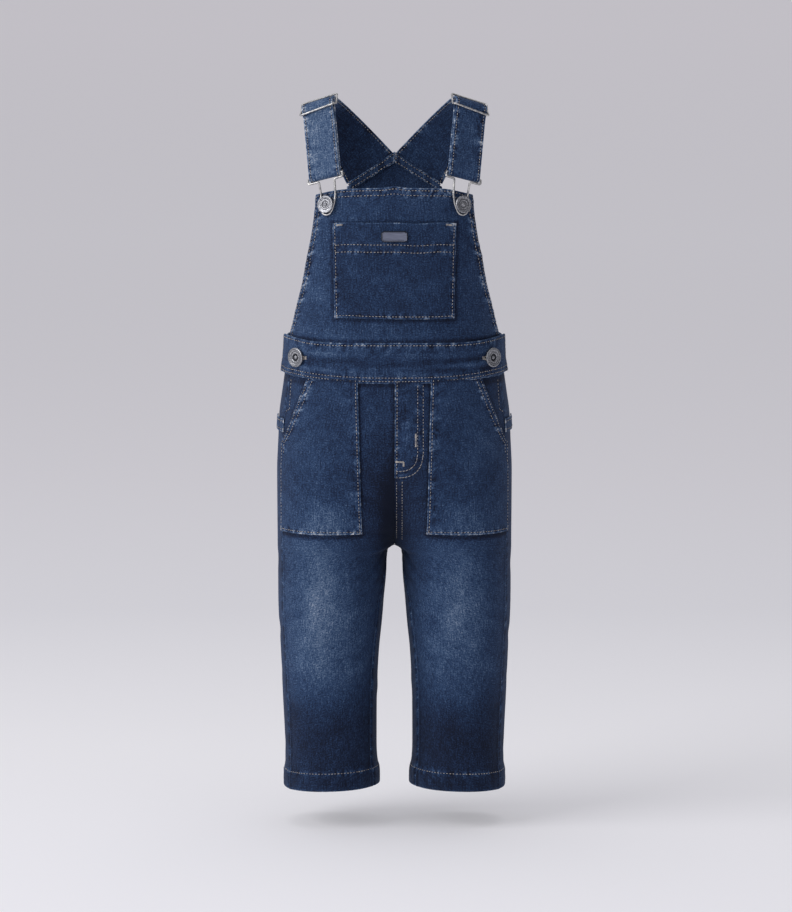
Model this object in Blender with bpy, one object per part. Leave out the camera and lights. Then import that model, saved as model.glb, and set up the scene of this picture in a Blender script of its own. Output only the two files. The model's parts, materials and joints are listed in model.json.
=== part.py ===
"""Kids dungarees: every cut and sewn piece as its own closed wall of cloth, in metres, +Z up.

The garment hangs filled out, with its front toward -Y. The origin lies midway between the two
straps, level with their undersides at the top of the shoulders, where the wearer carries it.
Left and right are the wearer's own: the wearer's left is +X. Tables are in millimetres.
"""

import math

import bmesh
import bpy
import numpy as np
from mathutils import Vector

MM = 0.001

# ---------------------------------------------------------------- cloth and seams
CLOTH = 1.4          # one layer of washed denim, with its turned edges
STRAP_CLOTH = 1.8    # a strap is two layers, turned and pressed
BAND_CLOTH = 2.4     # the front waistband is two layers with a stiffener
BACK_BAND_CLOTH = 2.1
SEAM = 0.3           # clear distance between two sewn pieces
HALF_SEAM = SEAM / 2
CHORD = 0.35         # how far a facet's middle lies inside the true curve
LAY = SEAM + CHORD   # height above a panel of the underside of what lies on it

# ---------------------------------------------------------------- levels of the garment
BAND_TOP = -207.6
BAND_BOTTOM = -240.7
CROTCH = -396.8
HEM = -617.5
HEM_START = -602.0   # top of the turned hem
HEM_TILT = 3.0       # how much higher the hem is at the inside of the leg

# One row for each section of the body. outer and inner are where the left half's oval ends,
# middle is its centre line, front and back are its depths, and square is its exponent:
# 2 is an ellipse, and more is fuller at the corners. A negative inner is cut off at the
# centre seam, which gives the rise its U. arch draws the inside of the thigh to the centre
# seam, where the two legs meet in a saddle.
BODY = (
    # z       outer   inner   middle  front  back  mid_y  square  arch
    (-20.0,   78.0,  -78.0,    0.0,   60.0,  66.0,  0.0,  2.3,   0.0),
    (-50.0,   85.0,  -85.0,    0.0,   67.0,  68.4,  0.0,  2.3,   0.0),
    (-78.0,   88.0,  -88.0,    0.0,   71.0,  68.0,  0.0,  2.4,   0.0),
    (-110.0,  91.0,  -91.0,    0.0,   74.5,  67.0,  0.0,  2.5,   0.0),
    (-150.0,  94.0,  -94.0,    0.0,   77.5,  67.5,  0.0,  2.5,   0.0),
    (-185.0,  95.8,  -95.8,    0.0,   79.0,  70.0,  0.0,  2.5,   0.0),
    (-207.0,  96.6,  -96.6,    0.0,   79.5,  72.5,  0.0,  2.5,   0.0),
    (-240.5,  98.4,  -98.4,    0.0,   79.5,  78.0,  0.0,  2.5,   0.0),
    (-258.0,  100.8, -94.0,    3.0,   79.0,  81.5,  0.0,  2.45,  0.0),
    (-275.0,  103.2, -84.0,    8.0,   78.0,  84.5,  0.0,  2.4,   0.0),
    (-300.0,  104.4, -62.0,   18.0,   76.8,  87.5,  0.0,  2.4,   0.0),
    (-330.0,  105.6, -38.0,   32.0,   75.0,  88.5,  0.0,  2.35,  0.0),
    (-358.0,  105.5, -20.0,   43.0,   72.0,  86.0,  0.0,  2.3,   0.0),
    (-378.0,  105.4,  -8.5,   50.0,   69.3,  81.5,  0.0,  2.3,   0.0),
    (-389.0,  105.3,  -1.0,   53.2,   67.8,  77.8,  0.0,  2.3,   2.4),
    (-394.8,  105.3,   3.2,   54.4,   67.1,  75.8, -0.2,  2.3,   4.6),
    (-396.8,  105.3,   4.6,   54.8,   66.8,  75.0, -0.3,  2.3,   4.5),
    (-398.4,  105.3,   5.5,   55.2,   66.6,  74.3, -0.4,  2.3,   1.4),
    (-401.0,  105.2,   6.6,   55.7,   66.2,  73.3, -0.5,  2.3,   0.0),
    (-423.0,  104.9,   7.4,   56.2,   63.5,  68.0, -1.0,  2.3,   0.0),
    (-445.0,  104.8,   9.5,   57.0,   60.0,  62.8, -1.5,  2.25,  0.0),
    (-467.0,  104.1,  11.3,   57.7,   57.0,  58.8, -1.5,  2.25,  0.0),
    (-489.0,  102.8,  13.6,   58.2,   54.0,  55.7, -1.0,  2.2,   0.0),
    (-511.0,  101.9,  15.0,   58.4,   52.0,  53.2,  0.0,  2.2,   0.0),
    (-533.0,  101.0,  15.9,   58.4,   50.5,  51.2,  1.0,  2.2,   0.0),
    (-577.0,   99.1,  16.1,   57.6,   48.5,  48.9,  2.5,  2.2,   0.0),
    (-595.0,   98.9,  15.2,   57.0,   48.0,  48.3,  3.0,  2.2,   0.0),
    (-603.0,   99.8,  14.0,   56.9,   48.6,  48.6,  3.0,  2.2,   0.0),
    (-617.5,   99.9,  13.6,   56.8,   48.4,  48.4,  3.0,  2.2,   0.0),
)
COLUMN = {name: i for i, name in enumerate(
    ("z", "outer", "inner", "middle", "front", "back", "mid_y", "square", "arch"))}
ARCH_POWER = 8       # how closely the saddle keeps to the innermost part of the thigh

# How far the side seam and the inside leg seam lie in from the outline, toward the front.
SIDE_SEAM_IN = 5.0
INSEAM_IN = (
    # z       inward
    (-396.8,  0.0),
    (-410.0,  0.8),
    (-430.0,  3.0),
    (-455.0,  5.0),
    (-617.5,  5.5),
)

# ---------------------------------------------------------------- bib and its pocket
BIB_TOP = -70.2
BIB_CROWN = 7.6      # how much lower the top edge lies at its corners
BIB_EDGE = (
    # z       half_width
    (-70.0,   68.2),
    (-82.0,   69.6),
    (-114.0,  73.8),
    (-136.0,  78.2),
    (-157.0,  82.0),
    (-179.0,  87.4),
    (-207.3,  93.6),
)
POCKET_TOP = -100.8
POCKET_BOTTOM = -185.4
POCKET_TOP_HALF = 53.8
POCKET_BOTTOM_HALF = 52.4
BADGE_SIZE = (23.6, 9.6, 1.6)
BADGE_Z = -112.7

# ---------------------------------------------------------------- back panel and straps
BACK_JOIN_TOP = -54.5        # the seam that joins the straps to the back, at the centre
BACK_JOIN_SLOPE = 26.2 / 43.2
FACING_HALF = 4.2
BACK_EDGE = (
    # z       half_width
    (-50.0,   43.2),
    (-81.0,   43.2),
    (-92.0,   44.6),
    (-108.0,  48.6),
    (-128.0,  56.0),
    (-152.0,  67.0),
    (-176.0,  79.0),
    (-195.0,  88.5),
    (-207.3,  94.0),
)
STRAP_HALF = 14.5
CREST = (66.5, 0.0, STRAP_CLOTH / 2)       # middle of the strap at the top of the shoulder
CREST_ACROSS = (-0.949, 0.0, 0.316)        # from its outer edge to its inner edge
CLIP_BAR = (61.3, -57.5, -60.5)            # middle of the bar that carries the strap's end
STRAP_RISE = (0.086, 0.571, 0.816)         # up along the front of the strap
STRAP_ACROSS = (-0.944, -0.230, 0.257)
BACK_INNER_END = (HALF_SEAM, 67.5, -50.6)  # where the straps' inner edges meet
BACK_OUTER_END = (43.2, 60.4, -77.0)

# ---------------------------------------------------------------- patch pockets, fly, loops
PATCH_INNER = ((-241.0, 32.1), (-376.0, 29.6))
SLANT = ((-241.0, 76.5), (-298.0, 97.6), (-312.0, 110.0))
PATCH_BOTTOM = (-378.6, -379.6, -380.0)    # at its inner corner, middle and side seam
FLY_WIDTH = 26.5
FLY_BOTTOM = -328.0
FLY_CLOTH = 1.0
LOOP_TOP = -279.4
LOOP_BOTTOM = -291.4
LOOP_CLOTH = 1.1
LOOP_IN = 6.0        # how far in from the outline a loop starts
UNDERLAP_X = 78.0    # the back waistband reaches this far under the front one

# ---------------------------------------------------------------- metal fittings
WIRE = 0.95                  # radius of the clips' and sliders' wire
BIB_BUTTON = (58.8, -86.0, 8.0)     # x, z, radius
WAIST_BUTTON = (83.1, -222.4, 8.7)
SLIDE_FRONT = ((64.0, 0.9), (67.4, 1.6))     # where a slide's front bar lies: run and lift
WAIST_BUTTON_LEAN = 0.25     # how far a waist button is turned on its stem to face the front


def table(rows, z):
    """The rows' columns at height z (an array), joined by smooth cubics through every row."""
    data = np.array(sorted(rows), float)
    height = data[:, 0]
    slope = np.gradient(data[:, 1:], height, axis=0)
    step = np.diff(data[:, 1:], axis=0) / np.diff(height)[:, None]
    flat = step[1:] * step[:-1] <= 0
    slope[1:-1][flat] = 0.0
    limit = 2.5 * np.minimum(abs(step[1:]), abs(step[:-1]))
    slope[1:-1] = np.clip(slope[1:-1], -limit, limit)
    z = np.clip(np.asarray(z, float), height[0], height[-1])
    i = np.clip(np.searchsorted(height, z) - 1, 0, len(height) - 2)
    span = (height[i + 1] - height[i])[..., None]
    t = (z - height[i])[..., None] / span
    low, high = data[i, 1:], data[i + 1, 1:]
    return ((1 + 2 * t) * (1 - t) ** 2 * low + t * (1 - t) ** 2 * span * slope[i]
            + t * t * (3 - 2 * t) * high + t * t * (t - 1) * span * slope[i + 1])


def section(z):
    """The body's section at height z, as a dictionary of arrays."""
    values = table(BODY, z)
    return {name: values[..., i - 1] for name, i in COLUMN.items() if i}


def on_oval(z, turn):
    """The point of the left half's oval at height z. turn is 0 at its outer side, a quarter
    turn at the front and half a turn at its inner side; below 0 it goes round the back."""
    s = section(z)
    c, d = np.cos(turn), np.sin(turn)
    reach = np.where(c >= 0, s["outer"] - s["middle"], s["middle"] - s["inner"])
    depth = np.where(d >= 0, s["front"], s["back"])
    power = 2 / s["square"]
    x = s["middle"] + reach * np.sign(c) * abs(c) ** power
    x = x - s["arch"] * np.clip(-c, 0, 1) ** ARCH_POWER
    y = s["mid_y"] - depth * np.sign(d) * abs(d) ** power
    return np.stack([x, y, z + 0 * x], -1)


def turn_at(z, x):
    """The turn, on the front, at which the oval at height z passes x, found by halving."""
    z, x = np.broadcast_arrays(z, x)
    low, high = np.zeros(z.shape), np.full(z.shape, math.pi)
    for _ in range(40):
        middle = (low + high) / 2
        beyond = on_oval(z, middle)[..., 0] > x
        low, high = np.where(beyond, middle, low), np.where(beyond, high, middle)
    return (low + high) / 2


def facing(z, turn):
    """The outward unit normal of the body at a height and turn."""
    girth = on_oval(z, turn + 0.004) - on_oval(z, turn - 0.004)
    rise = on_oval(z + 0.4, turn) - on_oval(z - 0.4, turn)
    n = np.cross(rise, girth)
    return n / np.linalg.norm(n, axis=-1, keepdims=True)


def turns_along(z, start, end, share):
    """Turns at equal shares of the girth between two turns, for arrays of one shape."""
    z, start, end, share = np.broadcast_arrays(z, start, end, share)
    turn = start[..., None] + (end - start)[..., None] * np.linspace(0, 1, 161)
    points = on_oval(z[..., None] + 0 * turn, turn)
    step = np.linalg.norm(np.diff(points, axis=-2), axis=-1)
    run = np.concatenate([0 * step[..., :1], np.cumsum(step, -1)], -1)
    best = np.empty(z.shape)
    for i in np.ndindex(z.shape):
        gap = HALF_SEAM / run[i][-1]
        best[i] = np.interp(gap + share[i] * (1 - 2 * gap), run[i] / run[i][-1], turn[i])
    return best


def grid_of(z_rows, count):
    """Two grids: the rows' heights, and shares of the girth from 0 to 1."""
    return np.meshgrid(z_rows, np.linspace(0, 1, count), indexing="ij")


def square_grid(rows, columns, low=-1.0):
    """Two grids: 0 to 1 down, and low to 1 across."""
    return np.meshgrid(np.linspace(0, 1, rows), np.linspace(low, 1, columns), indexing="ij")


def new_material(name, color, metallic, roughness):
    material = bpy.data.materials.new(name)
    material.use_nodes = True
    shader = material.node_tree.nodes["Principled BSDF"]
    shader.inputs["Base Color"].default_value = (*color, 1)
    shader.inputs["Metallic"].default_value = metallic
    shader.inputs["Roughness"].default_value = roughness
    material.diffuse_color = (*color, 1)
    return material


DENIM = ((0.030, 0.050, 0.105), 0.0, 0.85)
NICKEL = ((0.62, 0.62, 0.60), 1.0, 0.30)
PEWTER = ((0.30, 0.31, 0.34), 1.0, 0.42)


def finish_object(name, mesh_or_curve, look):
    mesh_or_curve.materials.append(new_material(name + "_finish", *look))
    item = bpy.data.objects.new(name, mesh_or_curve)
    bpy.context.scene.collection.objects.link(item)
    return item


def wall(name, outer, inner, look=DENIM, mirrored=False):
    """A closed wall between two grids of points, in millimetres."""
    rows, columns = outer.shape[:2]
    flip = np.array([-1, 1, 1]) if mirrored else 1
    bm = bmesh.new()
    faces = [[[bm.verts.new(point * MM) for point in row] for row in grid * flip]
             for grid in (outer, inner)]
    for grid in faces:
        for i in range(rows - 1):
            for j in range(columns - 1):
                bm.faces.new((grid[i][j], grid[i][j + 1], grid[i + 1][j + 1], grid[i + 1][j]))
    rim = [(0, j) for j in range(columns)] + [(i, columns - 1) for i in range(1, rows)]
    rim += [(rows - 1, j) for j in range(columns - 2, -1, -1)]
    rim += [(i, 0) for i in range(rows - 2, 0, -1)]
    for (a, b), (c, d) in zip(rim, rim[1:] + rim[:1]):
        bm.faces.new((faces[0][a][b], faces[0][c][d], faces[1][c][d], faces[1][a][b]))
    bmesh.ops.recalc_face_normals(bm, faces=bm.faces)
    mesh = bpy.data.meshes.new(name)
    bm.to_mesh(mesh)
    bm.free()
    return finish_object(name, mesh, look)


def layer(name, z, turn, low, high, mirrored=False, look=DENIM):
    """A wall of cloth that follows the body, from low to high above its surface. A piece that
    ends at the centre seam keeps its half of the gap there."""
    surface, n = on_oval(z, turn), facing(z, turn)
    low, high = np.asarray(low)[..., None], np.asarray(high)[..., None]
    outer, inner = surface + n * high, surface + n * low
    if surface[..., 0].min() > 0:
        outer[..., 0] = np.maximum(outer[..., 0], HALF_SEAM)
        inner[..., 0] = np.maximum(inner[..., 0], HALF_SEAM)
    return wall(name, outer, inner, look, mirrored)


def both_sides(name, z, turn, low, high):
    """The same piece on the wearer's left, and mirrored on the right."""
    layer(name + "_left", z, turn, low, high)
    layer(name + "_right", z, turn, low, high, mirrored=True)


def leg_rows():
    """Heights of the leg panels' rows: close together round the crotch and at the hem."""
    rise = np.linspace(BAND_BOTTOM - SEAM, CROTCH + 15, 9)
    arch = [-389.5, -393.6, CROTCH + 0.8, CROTCH - 0.3, -398.4, -401.0, -409.0]
    leg = [-423.0, -450.0, -488.0, -540.0, -595.0, -603.0, HEM]
    return np.array([*rise, *arch, *leg])


def inner_turn(z):
    """Where the front panel starts: at the centre seam above the crotch, and below it on the
    inside leg seam."""
    innermost = on_oval(z, math.pi + 0 * z)[..., 0]
    seam = innermost + table(INSEAM_IN, z)[..., 0]
    return turn_at(z, np.where(innermost < HALF_SEAM, HALF_SEAM, seam))


def side_turn(z):
    return turn_at(z, section(z)["outer"] - SIDE_SEAM_IN)


def legs():
    """Front and back of both legs, from the waistband to the hem."""
    rows, share = grid_of(leg_rows(), 11)
    cuff = np.clip((HEM_START - rows) / (HEM_START - HEM), 0, 1)
    z = rows + HEM_TILT * cuff * (1 - share)
    both_sides("front_leg", z, turns_along(z, inner_turn(z), side_turn(z), share), -CLOTH, 0.0)

    z = rows + HEM_TILT * cuff * share
    open_leg = on_oval(z, math.pi + 0 * z)[..., 0] >= HALF_SEAM
    back_end = np.where(open_leg, inner_turn(z) - 2 * math.pi, -turn_at(z, HALF_SEAM))
    both_sides("back_leg", z, turns_along(z, side_turn(z), back_end, share), -CLOTH, 0.0)


def waistbands():
    """The front band, whose ends lie over the back band, where the side buttons close them."""
    z, share = grid_of(np.linspace(BAND_TOP, BAND_BOTTOM, 4), 29)
    end = math.radians(8)
    turn = turns_along(z, math.pi - end, end, share)
    side = np.clip((abs(on_oval(z, turn)[..., 0]) - 58.0) / 16.0, 0, 1)
    low = -CLOTH + (CLOTH + SEAM + LAY) * side * side * (3 - 2 * side)
    layer("waistband_front", z, turn, low, low + BAND_CLOTH)

    under = turn_at(z, UNDERLAP_X + 0 * z)
    turn = turns_along(z, under, -math.pi - under, share)
    layer("waistband_back", z, turn, SEAM - BACK_BAND_CLOTH, SEAM)


def bib():
    """The bib, with a crowned top edge and sides that widen to the waistband, and its pocket."""
    down, across = square_grid(13, 15)
    top = BIB_TOP - BIB_CROWN * abs(across) ** 4
    z = top + down * (BAND_TOP + SEAM - top)
    layer("bib", z, turn_at(z, across * table(BIB_EDGE, z)[..., 0]), -CLOTH, 0.0)

    down, across = square_grid(8, 11)
    half = POCKET_TOP_HALF + (POCKET_BOTTOM_HALF - POCKET_TOP_HALF) * down
    z = POCKET_TOP + (POCKET_BOTTOM - POCKET_TOP) * down - 1.2 * across ** 4 * (1 - down)
    layer("bib_pocket", z, turn_at(z, across * half), LAY, LAY + CLOTH)


def badge():
    """A plain rounded metal plate on the pocket's hem."""
    length, height, thick = BADGE_SIZE
    seat = on_oval(np.array(BADGE_Z - height / 2), np.array(math.pi / 2))[1] - LAY - CLOTH - SEAM
    bm = bmesh.new()
    bmesh.ops.create_cube(bm, size=1.0)
    bmesh.ops.scale(bm, vec=(length * MM, thick * MM, height * MM), verts=bm.verts)
    upright = [e for e in bm.edges if abs(e.verts[0].co.y - e.verts[1].co.y) > thick * MM / 2]
    bmesh.ops.bevel(bm, geom=upright, offset=2.6 * MM, segments=5, profile=0.5, affect="EDGES")
    front = [e for e in bm.edges if all(v.co.y < 0 for v in e.verts)
             and any(len(f.verts) > 4 and f.normal.y < -0.9 for f in e.link_faces)]
    bmesh.ops.bevel(bm, geom=front, offset=0.5 * MM, segments=2, profile=0.5, affect="EDGES")
    mesh = bpy.data.meshes.new("bib_badge")
    bm.to_mesh(mesh)
    bm.free()
    plate = finish_object("bib_badge", mesh, PEWTER)
    plate.location = (0, (seat - thick / 2) * MM, BADGE_Z * MM)


def join_height(x):
    """The height of the seam that joins straps and back panel."""
    return BACK_JOIN_TOP - BACK_JOIN_SLOPE * abs(x)


def back_panel():
    """The back above the waistband, cut away at the armholes and pointed at the top."""
    down, across = square_grid(13, 15)
    top = join_height(across * BACK_EDGE[0][1]) - HALF_SEAM
    z = top + down * (BAND_TOP + SEAM - top)
    layer("back_panel", z, -turn_at(z, across * table(BACK_EDGE, z)[..., 0]), -CLOTH, 0.0)


def back_facings():
    """The two strips inside that cover the pointed seam and meet at the centre."""
    down, across = square_grid(3, 8, low=0.0)
    x = HALF_SEAM + across * (BACK_EDGE[0][1] - 1.0 - HALF_SEAM)
    z = join_height(x) + (1 - 2 * down) * FACING_HALF
    both_sides("back_facing", z, -turn_at(z, x), -STRAP_CLOTH - LAY - CLOTH, -STRAP_CLOTH - LAY)


def patch_bottom(share):
    """The bottom edge of a patch pocket: a parabola through its corners and middle."""
    inner_corner, middle, side_corner = PATCH_BOTTOM
    return ((1 - share) * (1 - 2 * share) * inner_corner + 4 * share * (1 - share) * middle
            + share * (2 * share - 1) * side_corner)


def patch_pockets():
    """Pockets from the waistband to mid thigh, with a slanted opening at the side."""
    down, share = square_grid(13, 10, low=0.0)
    top = BAND_BOTTOM - LAY
    z = top + down * (patch_bottom(share) - top)
    x_in = np.interp(z, *zip(*sorted(PATCH_INNER)))
    seam = section(z)["outer"] - SIDE_SEAM_IN
    x_out = np.minimum(seam, np.interp(z, *zip(*sorted(SLANT))))
    turn = turns_along(z, turn_at(z, x_in), turn_at(z, x_out), share)
    both_sides("patch_pocket", z, turn, LAY, LAY + CLOTH)


def fly():
    """The fly strip on the wearer's left front, with a rounded lower corner."""
    down, share = square_grid(12, 6, low=0.0)
    bend = np.clip((down - 0.70) / 0.30, 0, 1)
    width = 1.2 + (FLY_WIDTH - 1.2) * np.sqrt(1 - 0.97 * bend ** 2)
    top = BAND_BOTTOM - LAY
    z = top + down * (FLY_BOTTOM - top)
    layer("fly", z, turn_at(z, 0.6 + share * width), LAY, LAY + FLY_CLOTH)


def side_loops():
    """Short stitched tabs that wrap the side seams below the waistband."""
    z, share = grid_of(np.linspace(LOOP_TOP, LOOP_BOTTOM, 3), 9)
    start = turn_at(z, section(z)["outer"] - LOOP_IN)
    turn = turns_along(z, start, math.radians(-3), share)
    both_sides("side_loop", z, turn, LAY, LAY + LOOP_CLOTH)


def unit(vector):
    vector = np.asarray(vector, float)
    return vector / np.linalg.norm(vector)


RISE = unit(STRAP_RISE)
ACROSS = unit(np.asarray(STRAP_ACROSS) - RISE * np.dot(STRAP_ACROSS, RISE))
FACE = np.cross(ACROSS, RISE)
FACE = FACE if FACE[1] < 0 else -FACE
LOOP_RADIUS = WIRE + 0.35 + STRAP_CLOTH / 2     # of a strap's middle layer round a bar
SLIDER_RUN = 71.0                               # from the clip's bar to the slider's own bar


def front_place(run, out):
    """A point of the strap's front: run up from the clip's bar, and out from its middle plane."""
    return np.asarray(CLIP_BAR) + RISE * run + FACE * out


def bend_round(run, out, start, end, steps):
    """Points of a strap layer round a bar, turned from start to end in degrees."""
    angles = np.radians(np.linspace(start, end, steps))
    return [front_place(run + LOOP_RADIUS * math.sin(a), out + LOOP_RADIUS * math.cos(a))
            for a in angles]


def strap_middle():
    """The middle line of a strap's front, from its sewn end at the slider, down behind, round
    the clip's bar, up the front and over the slider's bar to the crest."""
    points = bend_round(SLIDER_RUN, -0.4, 40, 180, 6)
    points += [front_place(run, -LOOP_RADIUS) for run in (55.0, 35.0, 15.0)]
    points += bend_round(0.0, 0.0, 180, 360, 7)
    points += [front_place(run, LOOP_RADIUS) for run in (14.0, 28.0, 42.0, 54.0)]
    points += [front_place(61.0, LOOP_RADIUS + 0.3), front_place(66.0, LOOP_RADIUS + 1.5)]
    return points


def strap_grid(columns):
    """A strap's middle surface: the front run, the crest, and the wide back run."""
    share = np.linspace(-1, 1, columns)[:, None]
    rows = [middle + ACROSS * STRAP_HALF * share for middle in strap_middle()]
    crest, crest_across = np.asarray(CREST), unit(CREST_ACROSS)
    over_bar = front_place(SLIDER_RUN + 1.2, 3.95)
    for middle, mix in ((over_bar, 0.25), (np.array((67.0, -11.0, 2.7)), 0.6),
                        (np.array((66.7, -5.0, 1.3)), 0.85)):
        across = unit(ACROSS * (1 - mix) + crest_across * mix)
        rows.append(middle + across * STRAP_HALF * share)
    inner_top = crest + crest_across * STRAP_HALF
    outer_top = crest - crest_across * STRAP_HALF
    for turn in np.radians(np.linspace(0, 90, 11)):
        swing = np.array([1 - math.cos(turn), math.sin(turn), 1 - math.cos(turn)])
        inner = inner_top + (np.asarray(BACK_INNER_END) - inner_top) * swing
        outer = outer_top + (np.asarray(BACK_OUTER_END) - outer_top) * swing
        rows.append((inner + outer) / 2 + (inner - outer) / 2 * share)
    end = rows[-1].copy()
    end[:, 2] = join_height(end[:, 0]) + HALF_SEAM
    rows.append(end)
    grid = np.array(rows)
    return onto_back(grid)


def onto_back(grid):
    """Lay the last rows of a strap on the back's surface, at the middle of their own cloth."""
    z = grid[..., 2]
    back = on_oval(z, -turn_at(z, grid[..., 0]))[..., 1] - STRAP_CLOTH / 2
    settle = np.zeros(len(grid))
    settle[-6:] = (0.12, 0.35, 0.7, 1.0, 1.0, 1.0)
    grid[..., 1] += settle[:, None] * (back - grid[..., 1])
    return grid


def straps():
    grid = strap_grid(5)
    down = np.gradient(grid, axis=0)
    across = np.gradient(grid, axis=1)
    n = np.cross(across, down)
    n /= np.linalg.norm(n, axis=-1, keepdims=True)
    half = STRAP_CLOTH / 2
    outer, inner = grid + n * half, grid - n * half
    for side in (outer, inner):
        side[-14:, :, 0] = np.maximum(side[-14:, :, 0], HALF_SEAM)
    for side, mirrored in (("left", False), ("right", True)):
        wall("strap_" + side, outer, inner, mirrored=mirrored)


def rounded(corners, radius, closed=True):
    """A path through corners with each one rounded by an arc."""
    corners = [np.asarray(c, float) for c in corners]
    path = []
    count = len(corners)
    for i, corner in enumerate(corners):
        if not closed and i in (0, count - 1):
            path.append(corner)
            continue
        to_last = unit(corners[i - 1] - corner)
        to_next = unit(corners[(i + 1) % count] - corner)
        for t in np.linspace(0, 1, 5):
            a, b = corner + to_last * radius, corner + to_next * radius
            path.append((1 - t) ** 2 * a + 2 * t * (1 - t) * corner + t * t * b)
    return path


def wire(name, path, radius, closed, mirrored, look=NICKEL):
    """A round wire along a path, as a bevelled curve."""
    curve = bpy.data.curves.new(name, "CURVE")
    curve.dimensions = "3D"
    curve.bevel_depth = radius * MM
    curve.bevel_resolution = 2
    curve.use_fill_caps = True
    spline = curve.splines.new("POLY")
    spline.points.add(len(path) - 1)
    flip = np.array([-1, 1, 1]) if mirrored else 1
    for slot, point in zip(spline.points, path):
        slot.co = (*(point * flip * MM), 1)
    spline.use_cyclic_u = closed
    return finish_object(name, curve, look)


def sliders():
    """Wire slides on the straps: a frame round the strap and a bar that its end is sewn to."""
    side = STRAP_HALF + 0.8 + WIRE
    front_outer, front_inner = [front_place(run, LOOP_RADIUS + lift + STRAP_CLOTH / 2 + SEAM + WIRE)
                                for run, lift in SLIDE_FRONT]
    bar = front_place(SLIDER_RUN, -0.4)
    rear = np.array((66.6, -5.6, 1.9 + STRAP_CLOTH / 2 + SEAM + WIRE))
    rear_across = unit(ACROSS * 0.2 + unit(CREST_ACROSS) * 0.8)
    corners = [front_outer - ACROSS * side, bar - ACROSS * side, rear - rear_across * side,
               rear + rear_across * side, bar + ACROSS * side, front_inner + ACROSS * side]
    half_bar = side - WIRE - SEAM
    for name, mirrored in (("left", False), ("right", True)):
        wire("slider_" + name, rounded(corners, 1.9), WIRE, True, mirrored)
        wire("slider_bar_" + name, [bar - ACROSS * half_bar, bar, bar + ACROSS * half_bar],
             WIRE, False, mirrored)


def button_seat(x, z, lift):
    """The seat of a button: a point above the cloth, and its outward direction."""
    turn = turn_at(np.array(z), np.array(x))
    n = facing(np.array(z), turn)
    return on_oval(np.array(z), turn) + n * lift, n


def button(name, seat, n, radius, stem, mirrored):
    """A tack button turned on its axis: a stem, a domed rim, a sunk ring and a centre stud."""
    rim = radius
    profile = [(0.0, 0.0), (2.6, 0.0), (2.6, stem), (rim - 1.0, stem), (rim, stem + 0.7),
               (rim, stem + 1.3), (rim - 0.8, stem + 2.1), (rim - 1.7, stem + 2.0),
               (rim * 0.42, stem + 1.5), (rim * 0.36, stem + 1.1), (rim * 0.27, stem + 1.1),
               (rim * 0.20, stem + 1.9), (0.0, stem + 2.2)]
    bm = bmesh.new()
    line = [bm.verts.new((r * MM, 0, h * MM)) for r, h in profile]
    edges = [bm.edges.new(pair) for pair in zip(line, line[1:])]
    bmesh.ops.spin(bm, geom=line + edges, cent=(0, 0, 0), axis=(0, 0, 1),
                   angle=2 * math.pi, steps=32, use_merge=True)
    bmesh.ops.remove_doubles(bm, verts=bm.verts, dist=1e-7)
    bmesh.ops.recalc_face_normals(bm, faces=bm.faces)
    mesh = bpy.data.meshes.new(name)
    bm.to_mesh(mesh)
    bm.free()
    disc = finish_object(name, mesh, PEWTER)
    flip = np.array([-1, 1, 1]) if mirrored else 1
    disc.location = seat * flip * MM
    disc.rotation_mode = "QUATERNION"
    disc.rotation_quaternion = Vector(n * flip).to_track_quat("Z", "Y")


def buttons():
    for name, mirrored in (("left", False), ("right", True)):
        x, z, radius = BIB_BUTTON
        seat, n = button_seat(x, z, LAY)
        button("bib_button_" + name, seat, n, radius, 2.9, mirrored)
        x, z, radius = WAIST_BUTTON
        seat, n = button_seat(x, z, SEAM + LAY + BAND_CLOTH + LAY)
        n = unit(n - np.array((0, WAIST_BUTTON_LEAN, 0)))
        button("waist_button_" + name, seat, n, radius, 1.5, mirrored)


def bib_clips():
    """Bent wire clips: a bar that carries the strap, two shoulders, and a keyhole loop that
    hangs over the bib button's stem."""
    seat, n = button_seat(BIB_BUTTON[0], BIB_BUTTON[1], 0.0)
    up = unit(np.array((0, 0, 1.0)) - n * n[2])
    inward = np.cross(up, n)
    inward = inward if inward[0] < 0 else -inward
    plane = LAY + WIRE + 0.2
    bar_half = STRAP_HALF + 0.6 + WIRE

    def at(across, height, out=plane):
        return seat + inward * across + up * height + n * out

    def by_bar(across, below):
        return front_place(-below, 0) + ACROSS * across

    shoulder = LOOP_RADIUS + STRAP_CLOTH / 2 + SEAM + WIRE + 0.2
    outer_side = [by_bar(-bar_half, 0), by_bar(-bar_half, shoulder), by_bar(-8.0, shoulder + 0.3),
                  at(-6.8, 9.0), at(-6.4, 2.0)]
    inner_side = [at(7.4, 2.0), at(8.0, 9.0), by_bar(8.4, shoulder + 0.5),
                  by_bar(bar_half, shoulder), by_bar(bar_half, 0)]
    loop = [at(5.7 * math.sin(a), -3.6 - 5.7 * math.cos(a)) for a in np.radians((-80, -40, 0, 40, 80))]
    path = rounded(outer_side + loop + inner_side, 1.2)
    for name, mirrored in (("left", False), ("right", True)):
        wire("bib_clip_" + name, path, WIRE, True, mirrored)


for leftover in list(bpy.data.objects):
    bpy.data.objects.remove(leftover)
legs()
waistbands()
bib()
badge()
back_panel()
back_facings()
patch_pockets()
fly()
side_loops()
straps()
sliders()
buttons()
bib_clips()
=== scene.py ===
# %% [markdown]
# # A small child's denim dungarees
# The garment hangs filled out, as if worn, and it is hollow. Every cut and sewn piece is made
# here as a thin closed shell of cloth on the same curved body as its solid, but with a much
# finer grid, so that seams can pucker, edges can roll and wear can follow the raised places.
# The threads, the wire fittings, the buttons and the badge are separate small meshes.

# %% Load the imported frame
import json
import math

import bpy
import numpy as np
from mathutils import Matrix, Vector
from mathutils.bvhtree import BVHTree

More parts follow.
